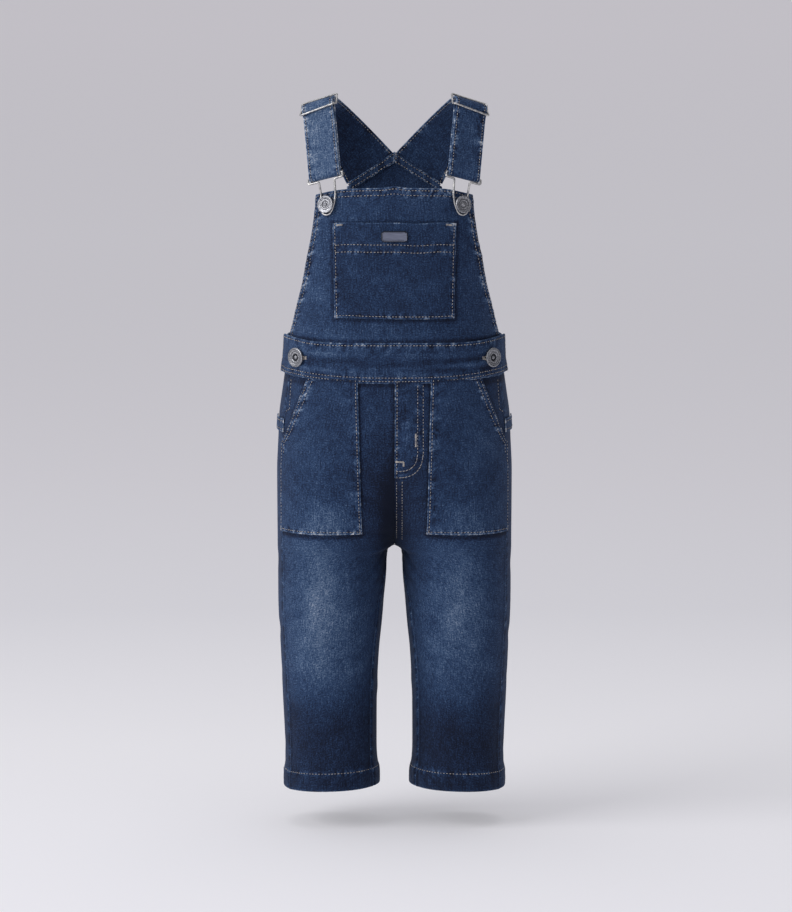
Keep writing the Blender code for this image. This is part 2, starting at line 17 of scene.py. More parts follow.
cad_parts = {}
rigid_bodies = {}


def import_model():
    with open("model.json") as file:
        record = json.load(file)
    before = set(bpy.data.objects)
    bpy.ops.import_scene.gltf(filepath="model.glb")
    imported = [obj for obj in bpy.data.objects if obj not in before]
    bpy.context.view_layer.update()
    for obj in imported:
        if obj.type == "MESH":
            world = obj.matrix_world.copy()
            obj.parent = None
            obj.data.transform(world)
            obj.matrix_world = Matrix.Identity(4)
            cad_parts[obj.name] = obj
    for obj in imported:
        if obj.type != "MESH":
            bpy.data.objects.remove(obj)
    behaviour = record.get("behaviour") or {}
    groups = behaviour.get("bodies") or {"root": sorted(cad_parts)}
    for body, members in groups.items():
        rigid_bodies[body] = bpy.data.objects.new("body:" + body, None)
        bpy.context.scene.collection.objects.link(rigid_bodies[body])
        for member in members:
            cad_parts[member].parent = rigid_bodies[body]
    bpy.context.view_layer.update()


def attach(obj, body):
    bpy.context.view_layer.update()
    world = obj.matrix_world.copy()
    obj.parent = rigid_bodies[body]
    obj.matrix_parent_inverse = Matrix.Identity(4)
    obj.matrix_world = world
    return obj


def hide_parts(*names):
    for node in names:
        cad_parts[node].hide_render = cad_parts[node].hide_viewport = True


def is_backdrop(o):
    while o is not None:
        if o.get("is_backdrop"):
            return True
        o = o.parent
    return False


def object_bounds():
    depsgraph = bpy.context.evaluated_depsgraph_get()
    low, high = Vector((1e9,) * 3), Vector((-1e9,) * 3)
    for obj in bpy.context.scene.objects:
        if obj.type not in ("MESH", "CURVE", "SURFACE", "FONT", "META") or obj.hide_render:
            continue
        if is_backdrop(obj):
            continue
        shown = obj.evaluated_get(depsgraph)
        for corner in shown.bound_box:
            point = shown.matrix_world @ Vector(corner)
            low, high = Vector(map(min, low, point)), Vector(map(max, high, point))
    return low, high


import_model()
MM = 0.001

# %% [markdown]
# ## The body under the cloth
# A garment filled out by a wearer has rounded sections: near the chest one wide oval, and
# below the crotch one oval for each leg. The tables give those ovals at a few heights, in
# millimetres, and a smooth cubic joins the rows. Left is the wearer's own left, at +X. All
# of the left side is worked out, and the right side is its mirror with other creases.

# %% Tables of the body and its seams
BODY = (
    # z       outer   inner   middle  front  back  mid_y  square  arch
    (-20.0,   78.0,  -78.0,    0.0,   60.0,  66.0,  0.0,  2.3,   0.0),
    (-50.0,   85.0,  -85.0,    0.0,   67.0,  68.4,  0.0,  2.3,   0.0),
    (-78.0,   88.0,  -88.0,    0.0,   71.0,  68.0,  0.0,  2.4,   0.0),
    (-110.0,  91.0,  -91.0,    0.0,   74.5,  67.0,  0.0,  2.5,   0.0),
    (-150.0,  94.0,  -94.0,    0.0,   77.5,  67.5,  0.0,  2.5,   0.0),
    (-185.0,  95.8,  -95.8,    0.0,   79.0,  70.0,  0.0,  2.5,   0.0),
    (-207.0,  96.6,  -96.6,    0.0,   79.5,  72.5,  0.0,  2.5,   0.0),
    (-240.5,  98.4,  -98.4,    0.0,   79.5,  78.0,  0.0,  2.5,   0.0),
    (-258.0,  100.8, -94.0,    3.0,   79.0,  81.5,  0.0,  2.45,  0.0),
    (-275.0,  103.2, -84.0,    8.0,   78.0,  84.5,  0.0,  2.4,   0.0),
    (-300.0,  104.4, -62.0,   18.0,   76.8,  87.5,  0.0,  2.4,   0.0),
    (-330.0,  105.6, -38.0,   32.0,   75.0,  88.5,  0.0,  2.35,  0.0),
    (-358.0,  105.5, -20.0,   43.0,   72.0,  86.0,  0.0,  2.3,   0.0),
    (-378.0,  105.4,  -8.5,   50.0,   69.3,  81.5,  0.0,  2.3,   0.0),
    (-389.0,  105.3,  -1.0,   53.2,   67.8,  77.8,  0.0,  2.3,   2.4),
    (-394.8,  105.3,   3.2,   54.4,   67.1,  75.8, -0.2,  2.3,   4.6),
    (-396.8,  105.3,   4.6,   54.8,   66.8,  75.0, -0.3,  2.3,   4.5),
    (-398.4,  105.3,   5.5,   55.2,   66.6,  74.3, -0.4,  2.3,   1.4),
    (-401.0,  105.2,   6.6,   55.7,   66.2,  73.3, -0.5,  2.3,   0.0),
    (-423.0,  104.9,   7.4,   56.2,   63.5,  68.0, -1.0,  2.3,   0.0),
    (-445.0,  104.8,   9.5,   57.0,   60.0,  62.8, -1.5,  2.25,  0.0),
    (-467.0,  104.1,  11.3,   57.7,   57.0,  58.8, -1.5,  2.25,  0.0),
    (-489.0,  102.8,  13.6,   58.2,   54.0,  55.7, -1.0,  2.2,   0.0),
    (-511.0,  101.9,  15.0,   58.4,   52.0,  53.2,  0.0,  2.2,   0.0),
    (-533.0,  101.0,  15.9,   58.4,   50.5,  51.2,  1.0,  2.2,   0.0),
    (-577.0,   99.1,  16.1,   57.6,   48.5,  48.9,  2.5,  2.2,   0.0),
    (-595.0,   98.9,  15.2,   57.0,   48.0,  48.3,  3.0,  2.2,   0.0),
    (-603.0,   99.8,  14.0,   56.9,   48.6,  48.6,  3.0,  2.2,   0.0),
    (-617.5,   99.9,  13.6,   56.8,   48.4,  48.4,  3.0,  2.2,   0.0),
)
COLUMN = {name: i for i, name in enumerate(
    ("z", "outer", "inner", "middle", "front", "back", "mid_y", "square", "arch"))}
INSEAM_IN = ((-396.8, 0.0), (-410.0, 0.8), (-430.0, 3.0), (-455.0, 5.0), (-617.5, 5.5))
BAND_TOP, BAND_BOTTOM = -207.6, -240.7
CROTCH, HEM, HEM_START, HEM_TILT = -396.8, -617.5, -602.0, 3.0
SIDE_SEAM_IN = 5.0
CLOTH, STRAP_CLOTH = 1.4, 1.8       # one layer of denim, and a turned strap
LAY = 0.65                          # how far a piece sewn onto a panel lies above it
print("body:", len(BODY), "sections from", BODY[0][0], "to", BODY[-1][0], "mm")


# %% Points of the body at a height and a turn
def table(rows, z):
    """The rows' columns at height z (an array), joined by smooth cubics through every row."""
    data = np.array(sorted(rows), float)
    height = data[:, 0]
    slope = np.gradient(data[:, 1:], height, axis=0)
    step = np.diff(data[:, 1:], axis=0) / np.diff(height)[:, None]
    slope[1:-1][step[1:] * step[:-1] <= 0] = 0.0
    limit = 2.5 * np.minimum(abs(step[1:]), abs(step[:-1]))
    slope[1:-1] = np.clip(slope[1:-1], -limit, limit)
    z = np.clip(np.asarray(z, float), height[0], height[-1])
    i = np.clip(np.searchsorted(height, z) - 1, 0, len(height) - 2)
    span = (height[i + 1] - height[i])[..., None]
    t = (z - height[i])[..., None] / span
    low, high = data[i, 1:], data[i + 1, 1:]
    return ((1 + 2 * t) * (1 - t) ** 2 * low + t * (1 - t) ** 2 * span * slope[i]
            + t * t * (3 - 2 * t) * high + t * t * (t - 1) * span * slope[i + 1])


def section(z):
    values = table(BODY, z)
    return {name: values[..., i - 1] for name, i in COLUMN.items() if i}


def on_oval(z, turn):
    """A point of the left half's oval: turn 0 is its outer side, a quarter turn the front."""
    s = section(z)
    c, d = np.cos(turn), np.sin(turn)
    reach = np.where(c >= 0, s["outer"] - s["middle"], s["middle"] - s["inner"])
    depth = np.where(d >= 0, s["front"], s["back"])
    power = 2 / s["square"]
    x = s["middle"] + reach * np.sign(c) * abs(c) ** power
    x = x - s["arch"] * np.clip(-c, 0, 1) ** 8
    y = s["mid_y"] - depth * np.sign(d) * abs(d) ** power
    return np.stack([x, y, z + 0 * x], -1)


def turn_at(z, x):
    """The turn, on the front, at which the oval at height z passes x, found by halving."""
    z, x = np.broadcast_arrays(z, x)
    low, high = np.zeros(z.shape), np.full(z.shape, math.pi)
    for _ in range(30):
        middle = (low + high) / 2
        beyond = on_oval(z, middle)[..., 0] > x
        low, high = np.where(beyond, middle, low), np.where(beyond, high, middle)
    return (low + high) / 2


def facing(z, turn):
    """The outward unit normal of the body."""
    girth = on_oval(z, turn + 0.004) - on_oval(z, turn - 0.004)
    rise = on_oval(z + 0.4, turn) - on_oval(z - 0.4, turn)
    n = np.cross(rise, girth)
    return n / np.linalg.norm(n, axis=-1, keepdims=True)


def girth_turns(z_rows, start, end, shares):
    """Turns at given shares of the girth between two turns, one row of them for each height."""
    turn = start[:, None] + (end - start)[:, None] * np.linspace(0, 1, 321)
    points = on_oval(z_rows[:, None] + 0 * turn, turn)
    step = np.linalg.norm(np.diff(points, axis=1), axis=-1)
    run = np.concatenate([0 * step[:, :1], np.cumsum(step, 1)], 1)
    return np.array([np.interp(shares * r[-1], r, t) for r, t in zip(run, turn)])


print("front of the waist:", on_oval(np.array(-224.0), np.array(math.pi / 2)).round(1))

# %% [markdown]
# ## What a piece of cloth knows
# A sewn edge on real denim is a rolled fold with a row of stitches beside it. The thread
# draws the cloth up, so the edge ripples, and washing rubs the dye off the tops of the
# ripples. An image could paint that, but light would not catch it. So each piece is a grid
# with a relief in millimetres, and the same ripples that raise the relief also raise a
# number called wear, which the denim's colour reads later.


# %% Soft lumps, and even spacing with fine edges
def lumps(a, b, seed):
    """Smooth value noise from -1 to 1 over a plane, with one lump for each unit."""
    knots = np.random.default_rng(seed).uniform(-1, 1, (61, 67))
    ia, ib = np.floor(a).astype(int), np.floor(b).astype(int)
    fa, fb = a - ia, b - ib
    fa, fb = fa * fa * (3 - 2 * fa), fb * fb * (3 - 2 * fb)
    low = knots[ia % 61, ib % 67] * (1 - fa) + knots[(ia + 1) % 61, ib % 67] * fa
    high = knots[ia % 61, (ib + 1) % 67] * (1 - fa) + knots[(ia + 1) % 61, (ib + 1) % 67] * fa
    return low * (1 - fb) + high * fb


def spaced(length, step, rim=(0.25, 0.6, 1.1, 1.8)):
    """Shares from 0 to 1 along a length in mm: even steps, and finer ones at both ends."""
    rim = np.array(rim) / length
    inside = np.linspace(rim[-1], 1 - rim[-1], max(2, int(length / step)))
    return np.concatenate([[0.0], rim[:-1], inside, 1 - rim[:-1][::-1], [1.0]])


def soft_step(x):
    x = np.clip(x, 0, 1)
    return x * x * (3 - 2 * x)


print("a 110 mm panel gets", len(spaced(110, 1.5)), "columns")


# %% A panel: its grid, its relief and its marks of wear
class Panel:
    """One cut piece, kept as the wearer's left; side -1 is sewn as its mirror."""

    def __init__(self, name, points, normals, thick, side=1, fade=0.26, hold=False):
        self.name, self.points, self.normals = name, points, normals
        self.thick, self.side, self.hold = thick, side, hold
        step = np.linalg.norm(np.diff(points, axis=1), axis=-1)
        self.across = np.concatenate([0 * step[:, :1], np.cumsum(step, 1)], 1)
        step = np.linalg.norm(np.diff(points, axis=0), axis=-1)
        self.down = np.concatenate([0 * step[:1], np.cumsum(step, 0)], 0)
        self.relief, self.fold, self.pinch = (np.zeros(points.shape[:2]) for _ in range(3))
        self.wear = np.zeros(points.shape[:2])
        self.fade = fade + 0.035 * lumps(points[..., 0] / 17, points[..., 2] / 23, 3 + side)
        self.seed = 100 if side > 0 else 500

    def gap(self, edge):
        """Distance in mm from one edge: start and end are the first and last columns."""
        return {"start": self.across, "end": self.across[:, -1:] - self.across,
                "top": self.down, "bottom": self.down[-1:] - self.down}[edge]

    def run(self, edge):
        return self.down if edge in ("start", "end") else self.across

    def within(self, edge, between):
        """1 inside a share of an edge's length, fading out over 3 mm."""
        run = self.run(edge)
        full = run[-1:] if edge in ("start", "end") else run[:, -1:]
        a, b = between
        low = 1 if a <= 0 else soft_step((run - a * full) / 3 + 0.5)
        high = 1 if b >= 1 else soft_step((b * full - run) / 3 + 0.5)
        return low * high

    def roll(self, *edges, radius=0.9):
        """Round the turned edges, so that face and back meet in a soft fold."""
        for edge in edges:
            inward = np.clip(1 - self.gap(edge) / radius, 0, 1)
            self.pinch = np.maximum(self.pinch, 0.47 * self.thick * (1 - np.sqrt(1 - inward ** 2)))

    def pucker(self, edge, inset, depth=0.3, reach=3.0, pitch=4.2, rub=0.3, seed=0, between=(0, 1)):
        """Ripples across a row of stitches, with rubbed tops, and the thread's own groove."""
        gap, run, seed = self.gap(edge) - inset, self.run(edge), seed + self.seed
        wave = 0.5 + 0.5 * np.clip(1.5 * lumps(2 * run / pitch + 0.1 * gap, gap / 8.0, seed), -1, 1)
        sway = 0.5 + 0.5 * lumps(run / (4 * pitch), 0 * run, seed + 7)
        hold = np.exp(-(gap / reach) ** 2) * self.within(edge, between)
        self.relief += depth * (wave - 0.45) * (0.70 + 0.6 * sway) * hold
        groove = np.exp(-(gap / 0.75) ** 2) * self.within(edge, between)
        self.relief -= 0.10 * groove
        self.wear += rub * (1.5 * wave - 0.66) * (0.6 + 0.7 * sway) * hold - 0.06 * groove

    def rub(self, edge, width=0.9, amount=0.45, seed=20, between=(0, 1)):
        """Dye rubbed off the outermost part of an edge."""
        run = self.run(edge)
        patchy = 0.6 + 0.4 * lumps(run / 5.0, 0 * run, seed + self.seed)
        self.wear += (amount * patchy * np.exp(-(self.gap(edge) / width) ** 2)
                      * self.within(edge, between))

    def band(self, edge, width, height, between=(0, 1)):
        """A folded hem is thicker than the single cloth beside it."""
        step = soft_step((width - self.gap(edge)) / 1.6 + 0.5)
        self.relief += height * step * self.within(edge, between)

    def crease(self, a, b, width, height, light=0.0):
        """A soft ridge, or a trough if height is negative, from a to b, each a share across
        and a share down. It is uneven along its length and dies out at both ends. Light is added
        to the fade along it: paler on ridges, as rubbed wear, and darker in troughs, as painted shade."""
        span = np.array([self.across[:, -1].mean(), self.down[-1].mean()])
        a, b = np.array(a) * span, np.array(b) * span
        place = np.stack([self.across, self.down], -1) - a
        line = b - a
        t = np.clip(place @ line / (line @ line), 0, 1)
        gap = np.linalg.norm(place - t[..., None] * line, axis=-1)
        length = np.linalg.norm(line)
        uneven = 1 + 0.35 * lumps(t * length / 14, 0 * t, int(length * 7 + width * 31) % 997)
        shape = np.exp(-(gap / width) ** 2) * np.sin(np.pi * np.clip(t, 0.02, 0.98)) ** 0.6
        self.fold += height * uneven * shape
        self.fade += light * uneven * shape

    def paint_shadow_line(self, x, z, width=1.8, amount=0.22):
        """Painted shadow: a darker line beside a raised edge, along a line drawn in the front view."""
        x0, z0 = self.points[..., 0] * self.side, self.points[..., 2]
        best = np.full(x0.shape, 1e9)
        for a, b in zip(zip(x, z), zip(x[1:], z[1:])):
            a, b = np.array(a, float), np.array(b, float)
            line = b - a
            t = np.clip(((x0 - a[0]) * line[0] + (z0 - a[1]) * line[1]) / (line @ line), 0, 1)
            best = np.minimum(best, np.hypot(x0 - a[0] - t * line[0], z0 - a[1] - t * line[1]))
        self.fade -= amount * np.exp(-(best / width) ** 2)

    def surfaces(self):
        """Face and back of the cloth, in the wearer's left frame."""
        n = self.normals
        face = self.points + n * (self.fold + self.relief - self.pinch)[..., None]
        back = self.points + n * (self.fold - self.thick + self.pinch)[..., None]
        if self.hold:
            for grid in (face, back):
                grid[..., 0] = np.maximum(grid[..., 0], 0.03)
                for column in (0, -1):
                    at_centre = self.points[:, column, 0] < 0.3
                    grid[at_centre, column, 0] = 0.0
        return face, back

    def line(self, edge, inset, between=(0, 1), under=False):
        """Points and normals of a row that runs at an even distance from one edge."""
        face, back = self.surfaces()
        grid = back if under else face
        n = -self.normals if under else self.normals
        gap = self.gap(edge)
        if edge in ("top", "bottom"):
            grid, n, gap = grid.swapaxes(0, 1), n.swapaxes(0, 1), gap.T
        first = round(between[0] * (len(gap) - 1))
        last = round(between[1] * (len(gap) - 1)) + 1
        rows = []
        for g, p, m in zip(gap[first:last], grid[first:last], n[first:last]):
            order = np.argsort(g)
            rows.append([[np.interp(inset, g[order], q[order, k]) for k in range(3)] for q in (p, m)])
        rows = np.array(rows) * np.array([self.side, 1, 1])
        return rows[:, 0], rows[:, 1]

    def flat_size(self):
        """Width, length and area of the cut, in metres, measured on the cloth before creases."""
        p = self.points
        d1, d2 = p[1:, 1:] - p[:-1, :-1], p[1:, :-1] - p[:-1, 1:]
        area = np.linalg.norm(np.cross(d1, d2), axis=-1).sum() / 2
        wide, long = self.across[:, -1].max(), self.down[-1].max()
        return wide * MM, long * MM, min(area, wide * long) * MM * MM


print("a panel carries", [m for m in dir(Panel) if not m.startswith("_")])

# %% [markdown]
# ## Indigo twill denim
# Denim is a cotton twill. Its warp threads are dyed with indigo on the outside only and its
# weft is left white, so the face is dark blue with a fine diagonal and a pale grain, and
# every rubbed place goes through grey-blue towards white. An image texture would be the
# usual way. Here one ramp of washed blues is read at a height made of four things: the
# piece's own fade, into which painted light and shade are also mixed, its wear, the uneven
# thickness of the threads, and the diagonal.


# %% Colours from hex, and one helper that adds a node
def linear(hex_code):
    """An sRGB hex colour as linear red, green, blue and alpha."""
    parts = [int(hex_code[i:i + 2], 16) / 255 for i in (1, 3, 5)]
    return (*[p / 12.92 if p <= 0.04045 else ((p + 0.055) / 1.055) ** 2.4 for p in parts], 1.0)


def node(tree, kind, feeds=None, **settings):
    """Add a node with its settings; feeds gives each input a number or a link."""
    made = tree.nodes.new(kind)
    for name, value in settings.items():
        setattr(made, name, value)
    for slot, source in (feeds or {}).items():
        if isinstance(source, bpy.types.NodeSocket):
            tree.links.new(source, made.inputs[slot])
        else:
            made.inputs[slot].default_value = source
    return made


def new_material(name, **constants):
    material = bpy.data.materials.new(name)
    material.use_nodes = True
    shader = material.node_tree.nodes["Principled BSDF"]
    for slot, value in constants.items():
        shader.inputs[slot.replace("_", " ")].default_value = value
    return material, material.node_tree, shader


def amounts(tree, *terms):
    """The sum of sockets, each taken times a number and moved by another."""
    total = None
    for socket, times, plus in terms:
        part = node(tree, "ShaderNodeMath", {0: socket, 1: times, 2: plus},
                    operation="MULTIPLY_ADD").outputs[0]
        total = part if total is None else node(
            tree, "ShaderNodeMath", {0: total, 1: part}, operation="ADD").outputs[0]
    return total


print("deep indigo is", [round(c, 4) for c in linear("#15233f")])

# %% The denim itself
denim, tree, shader = new_material(
    "indigo_twill_denim", Roughness=0.86, Specular_IOR_Level=0.22,
    Sheen_Weight=0.10, Sheen_Roughness=0.45, Sheen_Tint=linear("#9fb0d0"))
cloth_map = node(tree, "ShaderNodeUVMap", uv_map="Cloth").outputs["UV"]
wear = node(tree, "ShaderNodeAttribute", attribute_name="wear").outputs["Fac"]
fade = node(tree, "ShaderNodeAttribute", attribute_name="fade").outputs["Fac"]

# The real twill line repeats every 0.6 mm; it is drawn at 1.1 mm, as fine as can show.
TWILL_MM = 1.1
leaning = node(tree, "ShaderNodeMapping", {"Vector": cloth_map, "Rotation": (0, 0, math.radians(-28))})
twill = node(tree, "ShaderNodeTexWave", {
    "Vector": leaning.outputs[0], "Scale": math.pi / 10 / (TWILL_MM * MM), "Distortion": 1.2,
    "Detail": 2.0, "Detail Scale": 1.4}).outputs["Fac"]
# Warp threads run down the cloth, and their thickness varies over about 8 mm of their length.
warp_way = node(tree, "ShaderNodeMapping", {"Vector": cloth_map, "Scale": (800, 130, 1)}).outputs[0]
warp = node(tree, "ShaderNodeTexNoise", {"Vector": warp_way, "Scale": 1.0, "Detail": 3.0}).outputs["Fac"]
weft_way = node(tree, "ShaderNodeMapping", {"Vector": cloth_map, "Scale": (150, 800, 1)}).outputs[0]
weft = node(tree, "ShaderNodeTexNoise", {"Vector": weft_way, "Scale": 1.0, "Detail": 2.0}).outputs["Fac"]
grain = node(tree, "ShaderNodeTexNoise", {
    "Vector": cloth_map, "Scale": 820.0, "Detail": 2.0, "Roughness": 0.6}).outputs["Fac"]
cloud = node(tree, "ShaderNodeTexNoise", {
    "Vector": cloth_map, "Scale": 70.0, "Detail": 4.0, "Roughness": 0.6}).outputs["Fac"]
# Washed seams are rubbed on knots about 2.5 mm apart, with unworn cloth between them.
knots = node(tree, "ShaderNodeTexNoise", {
    "Vector": cloth_map, "Scale": 390.0, "Detail": 1.0, "Roughness": 0.5}).outputs["Fac"]
rubbed = node(tree, "ShaderNodeMapRange", {
    "Value": knots, "From Min": 0.38, "From Max": 0.62, "To Min": 0.25, "To Max": 1.40}).outputs[0]
patchy_wear = node(tree, "ShaderNodeMath", {0: wear, 1: rubbed}, operation="MULTIPLY").outputs[0]
wash = amounts(tree, (fade, 1.0, 0.0), (patchy_wear, 1.0, 0.0), (warp, 0.42, -0.21),
               (weft, 0.22, -0.11), (grain, 0.86, -0.43), (cloud, 0.24, -0.12),
               (twill, 0.08, -0.04))
blues = node(tree, "ShaderNodeValToRGB", {"Fac": wash})
ramp = blues.color_ramp
ramp.elements[0].position, ramp.elements[0].color = 0.0, linear("#081125")
ramp.elements[1].position, ramp.elements[1].color = 1.0, linear("#c9ccd3")
for place, shade in ((0.18, "#162642"), (0.36, "#283f61"), (0.56, "#526784"), (0.78, "#949eae")):
    stop = ramp.elements.new(place)
    stop.color = linear(shade)
tree.links.new(blues.outputs["Color"], shader.inputs["Base Color"])
height = amounts(tree, (twill, 0.5, 0.0), (warp, 0.6, 0.0), (weft, 0.3, 0.0), (grain, 0.6, 0.0))
bump = node(tree, "ShaderNodeBump", {"Strength": 0.55, "Distance": 0.25 * MM, "Height": height})
tree.links.new(bump.outputs["Normal"], shader.inputs["Normal"])
print("denim:", len(tree.nodes), "nodes, twill drawn at", TWILL_MM, "mm")

# %% [markdown]
# ## Topstitching thread
# The seams are sewn with a pale cotton-wrapped polyester thread, far thicker than the yarns
# of the cloth. A painted dash would look flat from the side, so each stitch is a small
# capsule that rises from one needle hole and sinks into the next.

# %% Thread material
thread, tree, shader = new_material("sand_cotton_wrapped_thread", Roughness=0.7,
                                    Specular_IOR_Level=0.3, Sheen_Weight=0.2)
place = node(tree, "ShaderNodeTexCoord").outputs["Object"]
uneven = node(tree, "ShaderNodeTexNoise", {"Vector": place, "Scale": 260.0, "Detail": 2.0}).outputs["Fac"]
tones = node(tree, "ShaderNodeValToRGB", {"Fac": uneven})
tones.color_ramp.elements[0].position, tones.color_ramp.elements[0].color = 0.3, linear("#7c787a")
tones.color_ramp.elements[1].position, tones.color_ramp.elements[1].color = 0.7, linear("#cdc5bb")
tree.links.new(tones.outputs["Color"], shader.inputs["Base Color"])
# The two plies of the thread twist round each other every 0.5 mm.
plies = node(tree, "ShaderNodeTexNoise", {"Vector": place, "Scale": 2000.0}).outputs["Fac"]
bump = node(tree, "ShaderNodeBump", {"Strength": 0.4, "Distance": 0.1 * MM, "Height": plies})
tree.links.new(bump.outputs["Normal"], shader.inputs["Normal"])

# Painted shade: near-black discs between the stitches stand for the shade in the needle dimples.
needle_dimple_shade, tree, shader = new_material("painted_shade_in_needle_dimples", Roughness=0.9, Specular_IOR_Level=0.1)
place = node(tree, "ShaderNodeTexCoord").outputs["Object"]
fibres = node(tree, "ShaderNodeTexNoise", {"Vector": place, "Scale": 900.0}).outputs["Fac"]
tones = node(tree, "ShaderNodeValToRGB", {"Fac": fibres})
tones.color_ramp.elements[0].position, tones.color_ramp.elements[0].color = 0.35, linear("#070c1c")
tones.color_ramp.elements[1].position, tones.color_ramp.elements[1].color = 0.7, linear("#16213b")
tree.links.new(tones.outputs["Color"], shader.inputs["Base Color"])
print("thread:", thread.name, "and", needle_dimple_shade.name)


# %% Sewing a panel into a mesh
def mesh_object(name, spots, faces, material, slot_name, *nodes):
    """A smooth mesh that rides with the garment and stands for CAD nodes."""
    mesh = bpy.data.meshes.new(name)
    mesh.from_pydata(spots, [], faces)
    mesh.polygons.foreach_set("use_smooth", np.ones(len(mesh.polygons), bool))
    mesh.materials.append(material)
    mesh.update()
    piece = bpy.data.objects.new(name, mesh)
    bpy.context.scene.collection.objects.link(piece)
    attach(piece, "root")
    if nodes:
        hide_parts(*nodes)
    return piece


cloth = {}


def sew(panel, cad_node):
    """A closed shell of cloth from a panel, with its flat map, its wear, and its fade with painted light and
    shade mixed in.
    """
    face, back = panel.surfaces()
    rows, columns = face.shape[:2]
    spots = np.concatenate([face.reshape(-1, 3), back.reshape(-1, 3)])
    spots = spots * np.array([panel.side, 1, 1]) * MM
    index = np.arange(rows * columns).reshape(rows, columns)
    quads = np.stack([index[:-1, :-1], index[:-1, 1:], index[1:, 1:], index[1:, :-1]], -1)
    quads = quads.reshape(-1, 4)
    rim = np.concatenate([index[0, :-1], index[:-1, -1], index[-1, :0:-1], index[:0:-1, 0]])
    ahead, total = np.roll(rim, -1), rows * columns
    faces = np.concatenate([quads, quads[:, ::-1] + total,
                            np.stack([ahead, rim, rim + total, ahead + total], -1)])
    i, j = rows // 2, columns // 2
    out = np.cross(face[i, j + 1] - face[i, j], face[i + 1, j] - face[i, j]) @ panel.normals[i, j]
    if (out > 0) != (panel.side > 0):
        faces = faces[:, ::-1]
    piece = mesh_object(panel.name, spots.tolist(), faces.tolist(), denim, "denim", cad_node)
    mesh = piece.data
    flat = np.stack([panel.across - panel.across[:, columns // 2][:, None], -panel.down], -1)
    flat = np.tile(flat.reshape(-1, 2), (2, 1)) * MM
    corner = np.empty(len(mesh.loops), np.int32)
    mesh.loops.foreach_get("vertex_index", corner)
    mesh.uv_layers.new(name="Cloth").data.foreach_set("uv", flat[corner].ravel())
    for mark, values in (("wear", panel.wear), ("fade", panel.fade)):
        layer = mesh.attributes.new(mark, "FLOAT", "POINT")
        layer.data.foreach_set("value", np.tile(values.ravel(), 2).astype(np.float32))
    cloth[cad_node] = (piece, panel)
    print(panel.name, rows, "x", columns, "flat", [round(v, 3) for v in panel.flat_size()])
    return piece


# %% Stitches along lines
def stitch_mesh(name, lines, pitch=2.9, length=2.0, radius=0.25, turn=0.0, seed=1, dimples=True):
    """One mesh of all the stitches along some lines of points and normals, in mm. Where the
    thread dives through, a small near-black disc between each stitch and the next is painted
    shade for the dimple there."""
    rng = np.random.default_rng(seed)
    rings = ((-0.5, 0.0, -0.25), (-0.36, 0.8, 0.02), (0.0, 1.0, 0.16), (0.36, 0.8, 0.02), (0.5, 0.0, -0.25))
    spots, faces, made, dark = [], [], 0, []
    for points, normals in lines:
        step = np.linalg.norm(np.diff(points, axis=0), axis=1)
        run = np.concatenate([[0], np.cumsum(step)])
        count = int(run[-1] / pitch)
        if count < 1:
            continue
        place = (np.arange(count) + 0.5) * run[-1] / count + rng.normal(0, 0.06 * pitch, count)
        take = [np.interp(place + shift, run, column) for shift in (0, 0.6, -0.6) for column in points.T]
        centre, ahead, behind = (np.stack(take[k:k + 3], -1) for k in (0, 3, 6))
        up = np.stack([np.interp(place, run, column) for column in normals.T], -1)
        up /= np.linalg.norm(up, axis=1, keepdims=True)
        along = ahead - behind
        along -= up * (along * up).sum(1, keepdims=True)
        along /= np.linalg.norm(along, axis=1, keepdims=True)
        aside = np.cross(up, along)
        tilt = turn + rng.normal(0, 0.06, (count, 1))
        along, aside = (along * np.cos(tilt) + aside * np.sin(tilt),
                        aside * np.cos(tilt) - along * np.sin(tilt))
        size = length * (1 + rng.normal(0, 0.06, (count, 1)))
        for k in range(count):
            base = len(spots)
            for share, wide, lift in rings:
                middle = centre[k] + along[k] * size[k] * share + up[k] * (lift + 0.02)
                if wide == 0.0:
                    spots.append(middle)
                    continue
                for corner in range(6):
                    angle = corner * math.pi / 3
                    spots.append(middle + radius * wide * (aside[k] * math.cos(angle)
                                                           + up[k] * 0.8 * math.sin(angle)))
            first, last = base, base + 19
            for corner in range(6):
                after = (corner + 1) % 6
                faces.append((first, base + 1 + after, base + 1 + corner))
                for ring in (0, 1):
                    low, high = base + 1 + 6 * ring, base + 7 + 6 * ring
                    faces.append((low + corner, low + after, high + after, high + corner))
                faces.append((base + 13 + corner, base + 13 + after, last))
            made += 1
            if not dimples:
                continue
            hole, low = centre[k] + along[k] * pitch / 2, len(spots)
            for corner in range(6):
                angle = corner * math.pi / 3
                spots.append(hole + up[k] * 0.03 + along[k] * 0.62 * math.cos(angle)
                             + aside[k] * 0.58 * math.sin(angle))
            spots.append(hole + up[k] * 0.10)
            for corner in range(6):
                dark.append(len(faces))
                faces.append((low + corner, low + (corner + 1) % 6, low + 6))
    piece = mesh_object(name, (np.array(spots) * MM).tolist(), faces, thread, "denim")
    piece.data.materials.append(needle_dimple_shade)
    kinds = np.zeros(len(faces), np.int32)
    kinds[dark] = 1
    piece.data.polygons.foreach_set("material_index", kinds)
    print(name, made, "stitches,", round(made * pitch / 1000, 2), "m of seam")
    return piece


skins = {}


